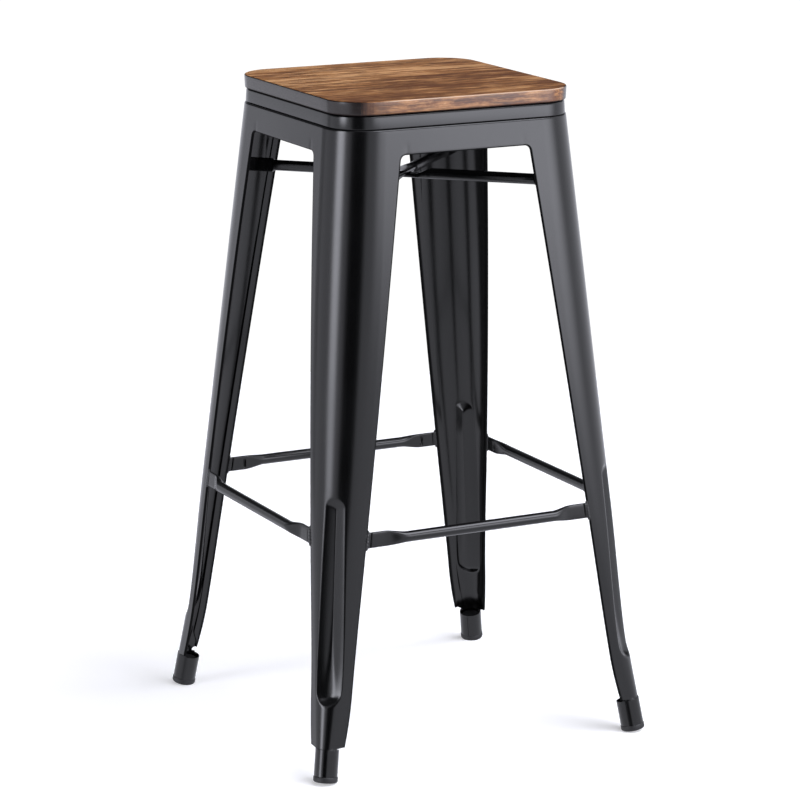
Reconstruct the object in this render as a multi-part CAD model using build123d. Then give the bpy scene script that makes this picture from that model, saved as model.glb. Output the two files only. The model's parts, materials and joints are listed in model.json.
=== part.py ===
from build123d import *
import math
import os

# Bar stool with a footrest: four pressed sheet legs, four apron rails, two crossed brace
# tubes, four footrest stretchers, a pressed seat pan and a solid wood seat board.
# Frame of the part: millimetres, +Z up, origin on the floor under the middle of the seat.
# The front of the stool is -Y and its right side is +X.

# ---------------------------------------------------------------- driving dimensions
SEAT_HEIGHT = 762.0

BOARD_HALF = 150.0
BOARD_CORNER = 45.0
BOARD_THICK = 16.0
BOARD_TOP_ROUND = 1.8
BOARD_BOTTOM_ROUND = 1.0

PAN_HALF = 149.0
PAN_CORNER = 45.0
PAN_HEIGHT = 16.0
PAN_SHEET = 1.2
PAN_FLANGE = 14.0

SHEET = 1.5
TOP_FLANGE = 14.0
HEM_WIDTH = 10.0

APRON_BOTTOM = 700.6
SEAM_HALF = 74.0
OPENING_CORNER = 7.0

# Outer face of the frame: height, half width across the flats, outer corner radius.
FRAME_TOP = SEAT_HEIGHT - BOARD_THICK - PAN_HEIGHT
FRAME_STATIONS = [
    (FRAME_TOP, 152.1, 54.0),
    (575.0, 167.0, 56.0),
    (420.0, 180.2, 52.0),
    (275.0, 191.2, 42.0),
    (100.0, 203.6, 24.0),
    (30.0, 211.2, 14.5),
]

# Inner edge of a leg flange: half gap between two legs at each height.
EDGE_TOP = (81.2, APRON_BOTTOM)
EDGE_KNEE = (168.0, 100.0)
EDGE_KICK = (173.3, 70.8)
EDGE_END = (180.6, 42.5)
FLANGE_TURN = (188.4, 41.6)
FLANGE_END = (197.0, 38.5)
HEM_TOP = 690.0
HEM_FOOT = (182.4, 46.0)

# Flute pressed into the outer corner of a leg.
FLUTE_TOP = 310.0
FLUTE_BOTTOM = 104.0
FLUTE_TOP_RADIUS = 12.0
FLUTE_BOTTOM_RADIUS = 15.0
FLUTE_DEPTH = 7.5

# Rolled foot sleeve and the plug pushed into it, both on the leg's leaning corner axis.
SLEEVE_RADIUS = 13.5
SLEEVE_TOP_Z = 37.0
SLEEVE_BOTTOM_Z = 8.5
SLEEVE_AXIS_TOP = 196.8
SLEEVE_AXIS_FLOOR = 202.3
SLEEVE_AXIS_RISE = 38.0
PLUG_CAP_RADIUS = 14.0
PLUG_CAP_HEIGHT = 7.0
PLUG_CAP_ROUND = 2.0
PLUG_STEM = 24.0

# Footrest stretchers: tube with its ends pressed into upright tongues.
STRETCHER_Z = 274.0
STRETCHER_OFFSET = 190.2
STRETCHER_RADIUS = 6.2
TUBE_WALL = 1.2
LEAST_BORE = 0.5
TONGUE_HALF_HEIGHT = 8.7
TONGUE_HALF_THICK = 1.8
TONGUE_START = 124.0
TONGUE_BLEND = 26.0
STRETCHER_REACH = 160.0

# Crossed brace tubes under the seat: ends pressed upright, middle pressed flat.
BRACE_Z = 653.0
BRACE_RADIUS = 6.35
BRACE_FLAT_HALF_WIDTH = 9.3
BRACE_FLAT_HALF_THICK = 2.5
BRACE_TONGUE_START = 163.0
BRACE_TONGUE_BLEND = 4.5
BRACE_REACH = 215.0
CROSS_HALF = 15.0
CROSS_BLEND = 20.0

# Seat screws, driven up through the pan into the board.
SCREW_PITCH_HALF = 100.0
SCREW_RADIUS = 2.0
SCREW_HEAD_RADIUS = 4.4
SCREW_HEAD_HEIGHT = 2.6
SCREW_REACH = 11.0

FAR = 300.0
FLOOR_SPAN = 1200.0
FUSE_OVERLAP = 1.2

BOARD_BOTTOM = SEAT_HEIGHT - BOARD_THICK
SIDES = {"back": 0, "left": 90, "front": 180, "right": 270}
CORNERS = {"back_right": 0, "back_left": 90, "front_left": 180, "front_right": 270}
SWAP_XY = Plane(origin=(0, 0, 0), z_dir=(1, -1, 0))


# ---------------------------------------------------------------- shared shapes
def rounded_square(half, corner, height):
    """Square with rounded corners, centred on the Z axis at one height."""
    return Pos(0, 0, height) * RectangleRounded(2 * half, 2 * half, corner)


def slab(half, corner, low, high):
    """Upright prism of a rounded square between two heights."""
    return extrude(rounded_square(half, corner, low), high - low)


def frame_envelope(inset):
    """Closed solid of the frame's outer face, moved inward by the inset."""
    return loft([rounded_square(half - inset, corner - inset, z) for z, half, corner in FRAME_STATIONS])


def across_depth(face):
    """Carry an XZ outline through the whole +Y half of the stool."""
    return extrude(Plane.XZ * face, -FAR)


def edge_at(height):
    """Half gap between two legs on their straight run above the knee."""
    slope = (EDGE_KNEE[0] - EDGE_TOP[0]) / (EDGE_TOP[1] - EDGE_KNEE[1])
    return EDGE_TOP[0] + slope * (EDGE_TOP[1] - height)


def leg_side_outline():
    """One leg seen square to a face: sloping inner edge, kicked foot and apron arm."""
    curve = Polyline(
        EDGE_KNEE,
        EDGE_TOP,
        (SEAM_HALF, APRON_BOTTOM),
        (SEAM_HALF, SEAT_HEIGHT),
        (FAR, SEAT_HEIGHT),
        (FAR, 0),
        (FLANGE_END[0], 0),
        FLANGE_END,
    )
    curve += ThreePointArc(FLANGE_END, FLANGE_TURN, EDGE_END)
    curve += ThreePointArc(EDGE_END, EDGE_KICK, EDGE_KNEE)
    face = make_face(curve)
    corner = face.vertices().sort_by_distance((EDGE_TOP[0], EDGE_TOP[1], 0))[0]
    return fillet(corner, OPENING_CORNER)


def hem_outline():
    """Strip along a leg's inner edge that the sheet is folded flat over, narrowing at the foot."""
    start = Vector(edge_at(HEM_TOP), HEM_TOP)
    width = Vector(HEM_WIDTH, 0)
    outer = Polyline(start, EDGE_KNEE) + ThreePointArc(EDGE_KNEE, EDGE_KICK, EDGE_END)
    inner = Polyline(start + width, Vector(EDGE_KNEE) + width, HEM_FOOT, EDGE_END)
    return make_face(outer + inner + Line(start, start + width))


ENVELOPE = frame_envelope(0)
CAVITY = frame_envelope(SHEET)
HEM_ZONE = frame_envelope(SHEET - FUSE_OVERLAP) - frame_envelope(2 * SHEET)
LEG_SIDE = across_depth(leg_side_outline())
LEG_REGION = LEG_SIDE & mirror(LEG_SIDE, about=SWAP_XY)


# ---------------------------------------------------------------- legs
def flute_tool(extra):
    """Tapered round-ended bar lying in the leg's corner; extra grows it by the sheet."""
    ends = []
    for z, radius in ((FLUTE_TOP, FLUTE_TOP_RADIUS), (FLUTE_BOTTOM, FLUTE_BOTTOM_RADIUS)):
        half, corner = frame_size(z)
        crest = half - corner * (1 - math.sqrt(0.5))
        centre = crest + (radius - FLUTE_DEPTH) * math.sqrt(0.5)
        ends.append((Vector(centre, centre, z), radius + extra))
    (top, top_radius), (bottom, bottom_radius) = ends
    axis = top - bottom
    base = Plane(origin=bottom, z_dir=axis)
    bar = base * Cone(bottom_radius, top_radius, axis.length, align=(Align.CENTER, Align.CENTER, Align.MIN))
    bar += Pos(*top) * Sphere(top_radius)
    bar += Pos(*bottom) * Sphere(bottom_radius)
    return bar


def frame_size(height):
    """Half width and corner radius of the frame between its stations."""
    for (z1, half1, corner1), (z0, half0, corner0) in zip(FRAME_STATIONS, FRAME_STATIONS[1:]):
        if z0 <= height <= z1:
            share = (height - z0) / (z1 - z0)
            return half0 + share * (half1 - half0), corner0 + share * (corner1 - corner0)
    raise ValueError("height is outside the frame")


def foot_plane(height):
    """Plane square to the foot's leaning axis, at the height where it cuts that axis."""
    lean = (SLEEVE_AXIS_FLOOR - SLEEVE_AXIS_TOP) / SLEEVE_AXIS_RISE
    offset = SLEEVE_AXIS_FLOOR - lean * height
    return Plane(origin=(offset, offset, height), z_dir=(-lean, -lean, 1))


def foot_bar(radius, low, high):
    """Round bar on the foot axis between two heights on that axis."""
    base = foot_plane(low)
    length = (foot_plane(high).origin - base.origin).length
    return base * Cylinder(radius, length, align=(Align.CENTER, Align.CENTER, Align.MIN))


def make_leg():
    """Back right leg: pressed corner sheet, flat hems, flute, top flange and foot sleeve."""
    leg = (ENVELOPE - CAVITY) & LEG_REGION
    hem = HEM_ZONE & across_depth(hem_outline())
    leg += hem
    leg += mirror(hem, about=SWAP_XY)
    ring = slab(FRAME_STATIONS[0][1], FRAME_STATIONS[0][2], FRAME_TOP - SHEET, FRAME_TOP)
    ring -= slab(FRAME_STATIONS[0][1] - TOP_FLANGE, FRAME_STATIONS[0][2] - TOP_FLANGE, FRAME_TOP - SHEET, FRAME_TOP)
    leg += ring & (Pos(SEAM_HALF, SEAM_HALF, 0) * Box(FAR, FAR, SEAT_HEIGHT, align=(Align.MIN,) * 3))
    pressed = (flute_tool(SHEET) & ENVELOPE) - flute_tool(0)
    leg = (leg - flute_tool(0)) + pressed
    sleeve = foot_bar(SLEEVE_RADIUS, SLEEVE_BOTTOM_Z, SLEEVE_TOP_Z)
    sleeve -= foot_bar(SLEEVE_RADIUS - SHEET, SLEEVE_BOTTOM_Z, SLEEVE_TOP_Z)
    leg -= foot_bar(SLEEVE_RADIUS - SHEET, SLEEVE_BOTTOM_Z, SLEEVE_TOP_Z)
    return leg + sleeve


def make_plug():
    """Plug of the back right foot: stem in the sleeve, cap under it, worn flat on the floor."""
    stem = foot_bar(SLEEVE_RADIUS - SHEET, SLEEVE_BOTTOM_Z, SLEEVE_BOTTOM_Z + PLUG_STEM)
    base = foot_plane(SLEEVE_BOTTOM_Z)
    cap = Cylinder(PLUG_CAP_RADIUS, PLUG_CAP_HEIGHT, align=(Align.CENTER, Align.CENTER, Align.MAX))
    cap = fillet(cap.edges().sort_by(Axis.Z)[0], PLUG_CAP_ROUND)
    floor = Box(FLOOR_SPAN, FLOOR_SPAN, FAR, align=(Align.CENTER, Align.CENTER, Align.MAX))
    return stem + base * cap - floor


# ---------------------------------------------------------------- rails and tubes
def make_apron():
    """Back apron rail: face strip, top flange and bottom hem between the two leg seams."""
    face = slab(FAR, BOARD_CORNER, APRON_BOTTOM, FRAME_TOP) & (ENVELOPE - CAVITY)
    top = slab(FAR, BOARD_CORNER, FRAME_TOP - SHEET, FRAME_TOP) & (ENVELOPE - frame_envelope(TOP_FLANGE))
    bottom = slab(FAR, BOARD_CORNER, APRON_BOTTOM, APRON_BOTTOM + HEM_WIDTH) & HEM_ZONE
    window = Pos(0, SEAM_HALF, 0) * Box(2 * SEAM_HALF, FAR, SEAT_HEIGHT, align=(Align.CENTER, Align.MIN, Align.MIN))
    return (face + top + bottom) & window


def pressed_tube(stations, wall):
    """Tube along X from stations of place, half width, half height and rise, made hollow."""
    tube = None
    for trim in (0, wall):
        body = None
        for first, second in zip(stations, stations[1:]):
            ends = []
            for place, half_width, half_height, rise in (first, second):
                section = Ellipse(max(half_width - trim, LEAST_BORE), max(half_height - trim, LEAST_BORE))
                ends.append(Plane(origin=(place, 0, rise), x_dir=(0, 1, 0), z_dir=(1, 0, 0)) * section)
            piece = loft(ends)
            body = piece if body is None else body + piece
        tube = body if tube is None else tube - body
    return tube


def both_ways(half_stations):
    """Mirror a list of stations about the middle of the tube."""
    return [(-s[0],) + s[1:] for s in reversed(half_stations)] + half_stations


def make_stretcher():
    """Back stretcher: round tube whose upright tongues butt against the two leg edges."""
    half = [
        (TONGUE_START - TONGUE_BLEND, STRETCHER_RADIUS, STRETCHER_RADIUS, 0),
        (TONGUE_START, TONGUE_HALF_THICK, TONGUE_HALF_HEIGHT, 0),
        (STRETCHER_REACH, TONGUE_HALF_THICK, TONGUE_HALF_HEIGHT, 0),
    ]
    tube = Pos(0, STRETCHER_OFFSET, STRETCHER_Z) * pressed_tube(both_ways(half), TUBE_WALL)
    return tube - LEG_SIDE - mirror(LEG_SIDE, about=Plane.YZ)


def make_brace(turn, lift):
    """Brace tube on one diagonal; lift moves its flat middle off the shared centre plane."""
    half = [
        (CROSS_HALF, BRACE_FLAT_HALF_WIDTH, BRACE_FLAT_HALF_THICK, lift),
        (CROSS_HALF + CROSS_BLEND, BRACE_RADIUS, BRACE_RADIUS, 0),
        (BRACE_TONGUE_START - BRACE_TONGUE_BLEND, BRACE_RADIUS, BRACE_RADIUS, 0),
        (BRACE_TONGUE_START, BRACE_FLAT_HALF_THICK, BRACE_FLAT_HALF_WIDTH, 0),
        (BRACE_REACH, BRACE_FLAT_HALF_THICK, BRACE_FLAT_HALF_WIDTH, 0),
    ]
    tube = pressed_tube(both_ways(half), TUBE_WALL)
    return (Pos(0, 0, BRACE_Z) * Rot(0, 0, turn) * tube) & CAVITY


# ---------------------------------------------------------------- seat
def screw_places():
    """Centres of the four seat screws."""
    return [(x, y) for x in (-SCREW_PITCH_HALF, SCREW_PITCH_HALF) for y in (-SCREW_PITCH_HALF, SCREW_PITCH_HALF)]


def upright_rod(x, y, radius, low, high):
    """Upright round rod between two heights."""
    return Pos(x, y, low) * Cylinder(radius, high - low, align=(Align.CENTER, Align.CENTER, Align.MIN))


def make_pan():
    """Pressed seat pan: flat top, downturned rim and an inward foot flange on the frame."""
    pan = slab(PAN_HALF, PAN_CORNER, FRAME_TOP, BOARD_BOTTOM)
    inner = PAN_HALF - PAN_SHEET
    pan -= slab(inner, PAN_CORNER - PAN_SHEET, FRAME_TOP + PAN_SHEET, BOARD_BOTTOM - PAN_SHEET)
    pan -= slab(PAN_HALF - PAN_FLANGE, PAN_CORNER - PAN_FLANGE, FRAME_TOP, FRAME_TOP + PAN_SHEET)
    for x, y in screw_places():
        pan -= upright_rod(x, y, SCREW_RADIUS, BOARD_BOTTOM - PAN_SHEET, BOARD_BOTTOM)
    return pan


def make_board():
    """Solid wood seat board with eased edges and four blind screw holes underneath."""
    board = slab(BOARD_HALF, BOARD_CORNER, BOARD_BOTTOM, SEAT_HEIGHT)
    board = fillet(board.faces().sort_by(Axis.Z)[-1].edges(), BOARD_TOP_ROUND)
    board = fillet(board.faces().sort_by(Axis.Z)[0].edges(), BOARD_BOTTOM_ROUND)
    for x, y in screw_places():
        board -= upright_rod(x, y, SCREW_RADIUS, BOARD_BOTTOM, BOARD_BOTTOM + SCREW_REACH)
    return board


def make_screws():
    """Four pan-head screws as separate solids in one group."""
    under = BOARD_BOTTOM - PAN_SHEET
    screws = []
    for x, y in screw_places():
        head = upright_rod(x, y, SCREW_HEAD_RADIUS, under - SCREW_HEAD_HEIGHT, under)
        head = fillet(head.edges().sort_by(Axis.Z)[0], SCREW_HEAD_HEIGHT / 2)
        screws.append(head + upright_rod(x, y, SCREW_RADIUS, under, BOARD_BOTTOM + SCREW_REACH))
    return Compound(children=screws)


# ---------------------------------------------------------------- write every node
def write_node(shape, name):
    """Write one sub-part to its own STEP file."""
    export_step(shape, f"parts/{name}.step")


os.makedirs("parts", exist_ok=True)
LEG = make_leg()
PLUG = make_plug()
for corner_name, angle in CORNERS.items():
    write_node(Rot(0, 0, angle) * LEG, f"leg_{corner_name}")
    write_node(Rot(0, 0, angle) * PLUG, f"foot_plug_{corner_name}")

APRON = make_apron()
STRETCHER = make_stretcher()
for side_name, angle in SIDES.items():
    write_node(Rot(0, 0, angle) * APRON, f"apron_{side_name}")
    write_node(Rot(0, 0, angle) * STRETCHER, f"stretcher_{side_name}")

write_node(make_brace(45, BRACE_FLAT_HALF_THICK), "brace_upper")
write_node(make_brace(-45, -BRACE_FLAT_HALF_THICK), "brace_lower")
write_node(make_pan(), "seat_pan")
write_node(make_board(), "seat_board")
write_node(make_screws(), "seat_screws")
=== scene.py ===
"""Looks of a pressed-steel bar stool with a wood seat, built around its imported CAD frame.

Lengths are metres in the CAD frame: +Z up, -Y the front, origin on the floor under the seat.
Each sub-assembly is a class that computes its surfaces as numpy grids; each finish is a class
that builds one procedural material.
"""

from __future__ import annotations

import json
import logging
import math
from dataclasses import dataclass
from enum import Enum
from typing import Any, Sequence

import bmesh
import bpy
import numpy as np
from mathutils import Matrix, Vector

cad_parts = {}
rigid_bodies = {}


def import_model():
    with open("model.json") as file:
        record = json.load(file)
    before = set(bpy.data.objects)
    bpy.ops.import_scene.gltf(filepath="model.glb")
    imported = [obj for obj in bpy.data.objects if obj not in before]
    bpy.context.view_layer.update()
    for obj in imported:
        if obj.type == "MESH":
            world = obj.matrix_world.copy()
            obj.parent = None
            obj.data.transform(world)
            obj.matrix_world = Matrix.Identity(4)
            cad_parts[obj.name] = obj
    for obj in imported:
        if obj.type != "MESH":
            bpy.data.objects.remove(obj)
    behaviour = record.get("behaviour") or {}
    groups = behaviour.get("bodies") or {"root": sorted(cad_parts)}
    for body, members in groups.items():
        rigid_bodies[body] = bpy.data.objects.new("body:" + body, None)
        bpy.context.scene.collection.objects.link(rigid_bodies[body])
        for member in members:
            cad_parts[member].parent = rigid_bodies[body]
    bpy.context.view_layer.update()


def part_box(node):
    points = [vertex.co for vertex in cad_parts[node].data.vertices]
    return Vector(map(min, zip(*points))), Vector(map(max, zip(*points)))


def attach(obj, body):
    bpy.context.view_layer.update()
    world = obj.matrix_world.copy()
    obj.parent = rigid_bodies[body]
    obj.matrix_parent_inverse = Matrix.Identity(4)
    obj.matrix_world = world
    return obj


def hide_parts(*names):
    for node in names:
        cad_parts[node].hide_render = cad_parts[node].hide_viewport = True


for leftover in list(bpy.data.objects):
    bpy.data.objects.remove(leftover)
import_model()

LOG = logging.getLogger("bar_stool")
WELD_DISTANCE = 2e-6
HEM_POINTS = 2
FOLD_POINTS = 9
SHEET_CREASE = 38.0
TUBE_CREASE = 50.0
MOULD_CREASE = 40.0
BOARD_CREASE = 45.0
UP = np.array([0.0, 0.0, 1.0])
Colour = tuple[float, float, float]


class Turned(Enum):
    """A place that repeats by quarter turns about Z: node ending and number of turns."""

    @property
    def label(self) -> str:
        """Ending of the node names at this place."""
        return self.value[0]

    @property
    def quarters(self) -> int:
        """Quarter turns about Z from the first place."""
        return self.value[1]


class Corner(Turned):
    """A leg position, turned from the back right leg."""

    BACK_RIGHT = ("back_right", 0)
    BACK_LEFT = ("back_left", 1)
    FRONT_LEFT = ("front_left", 2)
    FRONT_RIGHT = ("front_right", 3)


class Side(Turned):
    """A side of the stool, turned from the back."""

    BACK = ("back", 0)
    LEFT = ("left", 1)
    FRONT = ("front", 2)
    RIGHT = ("right", 3)


class Slot(Enum):
    """Material slots of the record."""

    POWDER_COAT = "powder_coat"
    STAINED_WOOD = "stained_wood"
    PLUG_PLASTIC = "plug_plastic"
    ZINC_SCREW = "zinc_screw"


# ------------------------------------------------------------------ numpy shapes


def smooth_step(value: np.ndarray | float, low: float, high: float) -> np.ndarray:
    """Rise from 0 to 1 between low and high with level ends: 3t^2 - 2t^3.

    Args:
        value: Numbers to map.
        low: Value that gives 0.
        high: Value that gives 1.

    Returns:
        The smoothed share for each number.
    """
    share = np.clip((np.asarray(value, float) - low) / (high - low), 0.0, 1.0)
    return share * share * (3.0 - 2.0 * share)


def soft_pick(
    first: np.ndarray, second: np.ndarray | float, radius: float | np.ndarray, sign: float = -1.0
) -> np.ndarray:
    """Smaller (sign -1) or larger (1) of two fields with the crease rounded.

    It is half of a + b, plus or minus half of sqrt((a - b)^2 + r^2).

    Args:
        first: First field.
        second: Second field.
        radius: Size of the rounding.
        sign: -1 for the minimum, 1 for the maximum.

    Returns:
        The rounded choice.
    """
    return 0.5 * (first + second + sign * np.sqrt((first - second) ** 2 + radius**2))


def curve_through(place: np.ndarray, stations: Sequence[float], values: Sequence[float]) -> np.ndarray:
    """Smooth curve through stations: cubic Hermite pieces whose slopes are central differences.

    Args:
        place: Where to read the curve.
        stations: Rising station places.
        values: Value at each station.

    Returns:
        The curve's values.
    """
    knots = np.asarray(stations, float)
    heights = np.asarray(values, float)
    slopes = np.gradient(heights, knots)
    place = np.asarray(place, float)
    index = np.clip(np.searchsorted(knots, place) - 1, 0, len(knots) - 2)
    span = knots[index + 1] - knots[index]
    share = (place - knots[index]) / span
    inside = np.clip(share, 0.0, 1.0)
    cubic = (
        (1 + 2 * inside) * (1 - inside) ** 2 * heights[index]
        + inside * (1 - inside) ** 2 * span * slopes[index]
        + inside**2 * (3 - 2 * inside) * heights[index + 1]
        - inside**2 * (1 - inside) * span * slopes[index + 1]
    )
    beyond = np.where(share > 1.0, slopes[index + 1], slopes[index]) * (share - inside) * span
    return cubic + beyond


def unit(vectors: np.ndarray) -> np.ndarray:
    """Vectors scaled to length one along the last axis."""
    return vectors / np.linalg.norm(vectors, axis=-1, keepdims=True)


def turned(points: np.ndarray, quarters: int) -> np.ndarray:
    """Points turned about Z by quarter turns: each turn sends (x, y) to (-y, x).

    Args:
        points: Array that ends in an axis of three.
        quarters: Number of quarter turns.

    Returns:
        The turned points.
    """
    cosine, sine = ((1, 0), (0, 1), (-1, 0), (0, -1))[quarters % 4]
    x, y, z = np.moveaxis(points, -1, 0)
    return np.stack([cosine * x - sine * y, sine * x + cosine * y, z], axis=-1)


@dataclass
class Patch:
    """A grid of points, rows by columns by three, that becomes a skin of quads.

    A closed patch joins its last column to its first. The points run so that the cross product
    of the row direction and the column direction points out, unless flip is set. The rim says,
    per point, how much a folded edge is painted as a dark, unreflecting line: painted shade.
    """

    points: np.ndarray
    closed: bool = False
    flip: bool = False
    # per-point share of the painted shade on folded edges
    rim: np.ndarray | None = None

    def quads(self, offset: int) -> np.ndarray:
        """Corner numbers of every quad.

        Args:
            offset: Number of the patch's first vertex in the whole mesh.

        Returns:
            Array of quads by four.
        """
        rows, columns = self.points.shape[:2]
        grid = np.arange(rows * columns).reshape(rows, columns) + offset
        if self.closed:
            grid = np.concatenate([grid, grid[:, :1]], axis=1)
        corners = (grid[:-1, :-1], grid[1:, :-1], grid[1:, 1:], grid[:-1, 1:])
        faces = np.stack(corners, axis=-1).reshape(-1, 4)
        return faces[:, ::-1] if self.flip else faces


def mesh_object(name: str, patches: Sequence[Patch], quarters: int = 0) -> bpy.types.Object:
    """One smooth-shaded object from patches, joined where their points meet.

    Args:
        name: Object name.
        patches: Grids to join.
        quarters: Quarter turns about Z given to every point.

    Returns:
        The object, at the origin.
    """
    coords, faces, rims, offset = [], [], [], 0
    for patch in patches:
        rim = np.zeros(1) if patch.rim is None else patch.rim
        rims.append(np.broadcast_to(rim, patch.points.shape[:2]).ravel())
        coords.append(turned(patch.points, quarters).reshape(-1, 3))
        faces.append(patch.quads(offset))
        offset += len(coords[-1])
    coords, faces = np.concatenate(coords), np.concatenate(faces)
    mesh = bpy.data.meshes.new(name)
    mesh.vertices.add(len(coords))
    mesh.vertices.foreach_set("co", coords.astype(np.float32).ravel())
    mesh.loops.add(faces.size)
    mesh.loops.foreach_set("vertex_index", faces.astype(np.int32).ravel())
    mesh.polygons.add(len(faces))
    mesh.polygons.foreach_set("loop_start", np.arange(0, faces.size, 4, dtype=np.int32))
    mesh.update(calc_edges=True)
    mesh.validate()
    rim_values = mesh.attributes.new("rim", "FLOAT", "POINT").data
    rim_values.foreach_set("value", np.concatenate(rims).astype(np.float32))
    work = bmesh.new()
    work.from_mesh(mesh)
    bmesh.ops.remove_doubles(work, verts=work.verts, dist=WELD_DISTANCE)
    bmesh.ops.dissolve_degenerate(work, edges=work.edges, dist=WELD_DISTANCE / 2)
    work.to_mesh(mesh)
    work.free()
    mesh.shade_smooth()
    piece = bpy.data.objects.new(name, mesh)
    bpy.context.scene.collection.objects.link(piece)
    return piece


def thicken(piece: bpy.types.Object, sheet: float) -> None:
    """Give a skin its sheet thickness inwards.

    Args:
        piece: Object whose mesh is the outer skin.
        sheet: Sheet thickness.
    """
    solid = piece.modifiers.new("sheet", "SOLIDIFY")
    solid.thickness = sheet
    solid.offset = -1.0
    solid.use_even_offset = True
    solid.thickness_clamp = 1.0
    depsgraph = bpy.context.evaluated_depsgraph_get()
    skin = piece.data
    piece.data = bpy.data.meshes.new_from_object(piece.evaluated_get(depsgraph))
    piece.modifiers.clear()
    bpy.data.meshes.remove(skin)
    piece.data.name = piece.name


@dataclass(frozen=True)
class Outfit:
    """What a piece wears: its material, and its sheet and crease if it has them; the record slot is carried
    along but not applied to the piece.
    """

    slot: "Slot"
    finish: bpy.types.Material
    sheet: float = 0.0
    crease: float = 0.0

    def piece(
        self, name: str, patches: Sequence[Patch], node: str | None = None, quarters: int = 0
    ) -> bpy.types.Object:
        """Make a piece from its patches, dress it and tie it to the frame.

        Args:
            name: Object name.
            patches: Grids to join.
            node: CAD node that the piece replaces, or None for an extra piece.
            quarters: Quarter turns about Z.

        Returns:
            The finished piece.
        """
        piece = mesh_object(name, patches, quarters)
        if self.sheet > 0.0:
            thicken(piece, self.sheet)
        if self.crease > 0.0:
            piece.data.shade_smooth()
            piece.data.set_sharp_from_angle(angle=math.radians(self.crease))
        piece.data.materials.clear()
        piece.data.materials.append(self.finish)
        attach(piece, "root")
        if node is not None:
            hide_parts(node)
        return piece


# ------------------------------------------------------------------ sizes shared by the pieces


@dataclass(frozen=True)
class FrameShape:
    """Outer face of the welded frame and the edges of its four openings.

    Heights rise from the foot to the top. The half width is measured across the flats and the
    corner radius is that of the outer corner. The opening edge is straight from the apron to the
    knee and kicks out below it.
    """

    top: float
    apron_bottom: float
    seam: float
    stations: tuple[float, ...] = (0.030, 0.100, 0.275, 0.420, 0.575, 0.730)
    halves: tuple[float, ...] = (0.2112, 0.2036, 0.1912, 0.1802, 0.1670, 0.1521)
    corners: tuple[float, ...] = (0.0145, 0.0240, 0.0420, 0.0520, 0.0560, 0.0540)
    edge_top: float = 0.0812
    knee: tuple[float, float] = (0.1680, 0.100)
    edge_end: tuple[float, float] = (0.1806, 0.0415)
    opening_corner: float = 0.007
    fold: float = 0.0016
    top_bend: float = 0.0018
    hem: float = 0.0100
    top_flange: float = 0.0140
    sheet: float = 0.0015
    weld_dent: float = 0.00015
    weld_half: float = 0.0030
    weld_fade: float = 0.0150

    def half(self, height: np.ndarray | float) -> np.ndarray:
        """Half width of the frame at a height."""
        return curve_through(height, self.stations, self.halves)

    def corner(self, height: np.ndarray | float) -> np.ndarray:
        """Outer corner radius at a height."""
        return curve_through(height, self.stations, self.corners)

    @property
    def edge_slope(self) -> float:
        """How fast the straight opening edge moves out, per metre down."""
        return (self.knee[0] - self.edge_top) / (self.apron_bottom - self.knee[1])

    def edge(self, height: np.ndarray | float) -> np.ndarray:
        """Half gap of the opening on its straight run."""
        return self.edge_top + self.edge_slope * (self.apron_bottom - np.asarray(height, float))

    def weld_sink(self, across: np.ndarray, height: np.ndarray) -> np.ndarray:
        """Depth of the dent left at each ground-off seam: a bell across that fades upwards.

        Args:
            across: Distance along the side from its middle.
            height: Height above the floor.

        Returns:
            Inward depth.
        """
        bell = np.exp(-(((np.abs(across) - self.seam) / self.weld_half) ** 2))
        middle, end = self.apron_bottom + self.weld_fade / 2, self.apron_bottom + self.weld_fade
        return self.weld_dent * bell * (1.0 - smooth_step(height, middle, end))


@dataclass(frozen=True)
class FootAxis:
    """Leaning axis of the back right foot, on which its sleeve and plug are round."""

    floor_offset: float = 0.2023
    lean: float = 0.1447
    radius: float = 0.0135
    sleeve_low: float = 0.0085
    sleeve_high: float = 0.0375
    plug_high: float = 0.0325

    def ring(self, angle: np.ndarray, height: np.ndarray, radius: np.ndarray | float) -> np.ndarray:
        """Points round the axis: centre plus radius times a direction made square to the axis.

        Args:
            angle: Angle from +Y towards +X.
            height: Height at which the ring's plane cuts the axis.
            radius: Ring radius.

        Returns:
            Points, with the inputs broadcast together.
        """
        angle, height, radius = np.broadcast_arrays(angle, height, radius)
        axis = np.array([-self.lean, -self.lean, 1.0])
        axis /= np.linalg.norm(axis)
        offset = self.floor_offset - self.lean * height
        centre = np.stack([offset, offset, height], axis=-1)
        flat = np.stack([np.sin(angle), np.cos(angle), np.zeros_like(angle)], axis=-1)
        square = unit(flat - (flat @ axis)[..., None] * axis)
        return centre + radius[..., None] * square


# ------------------------------------------------------------------ legs


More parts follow.
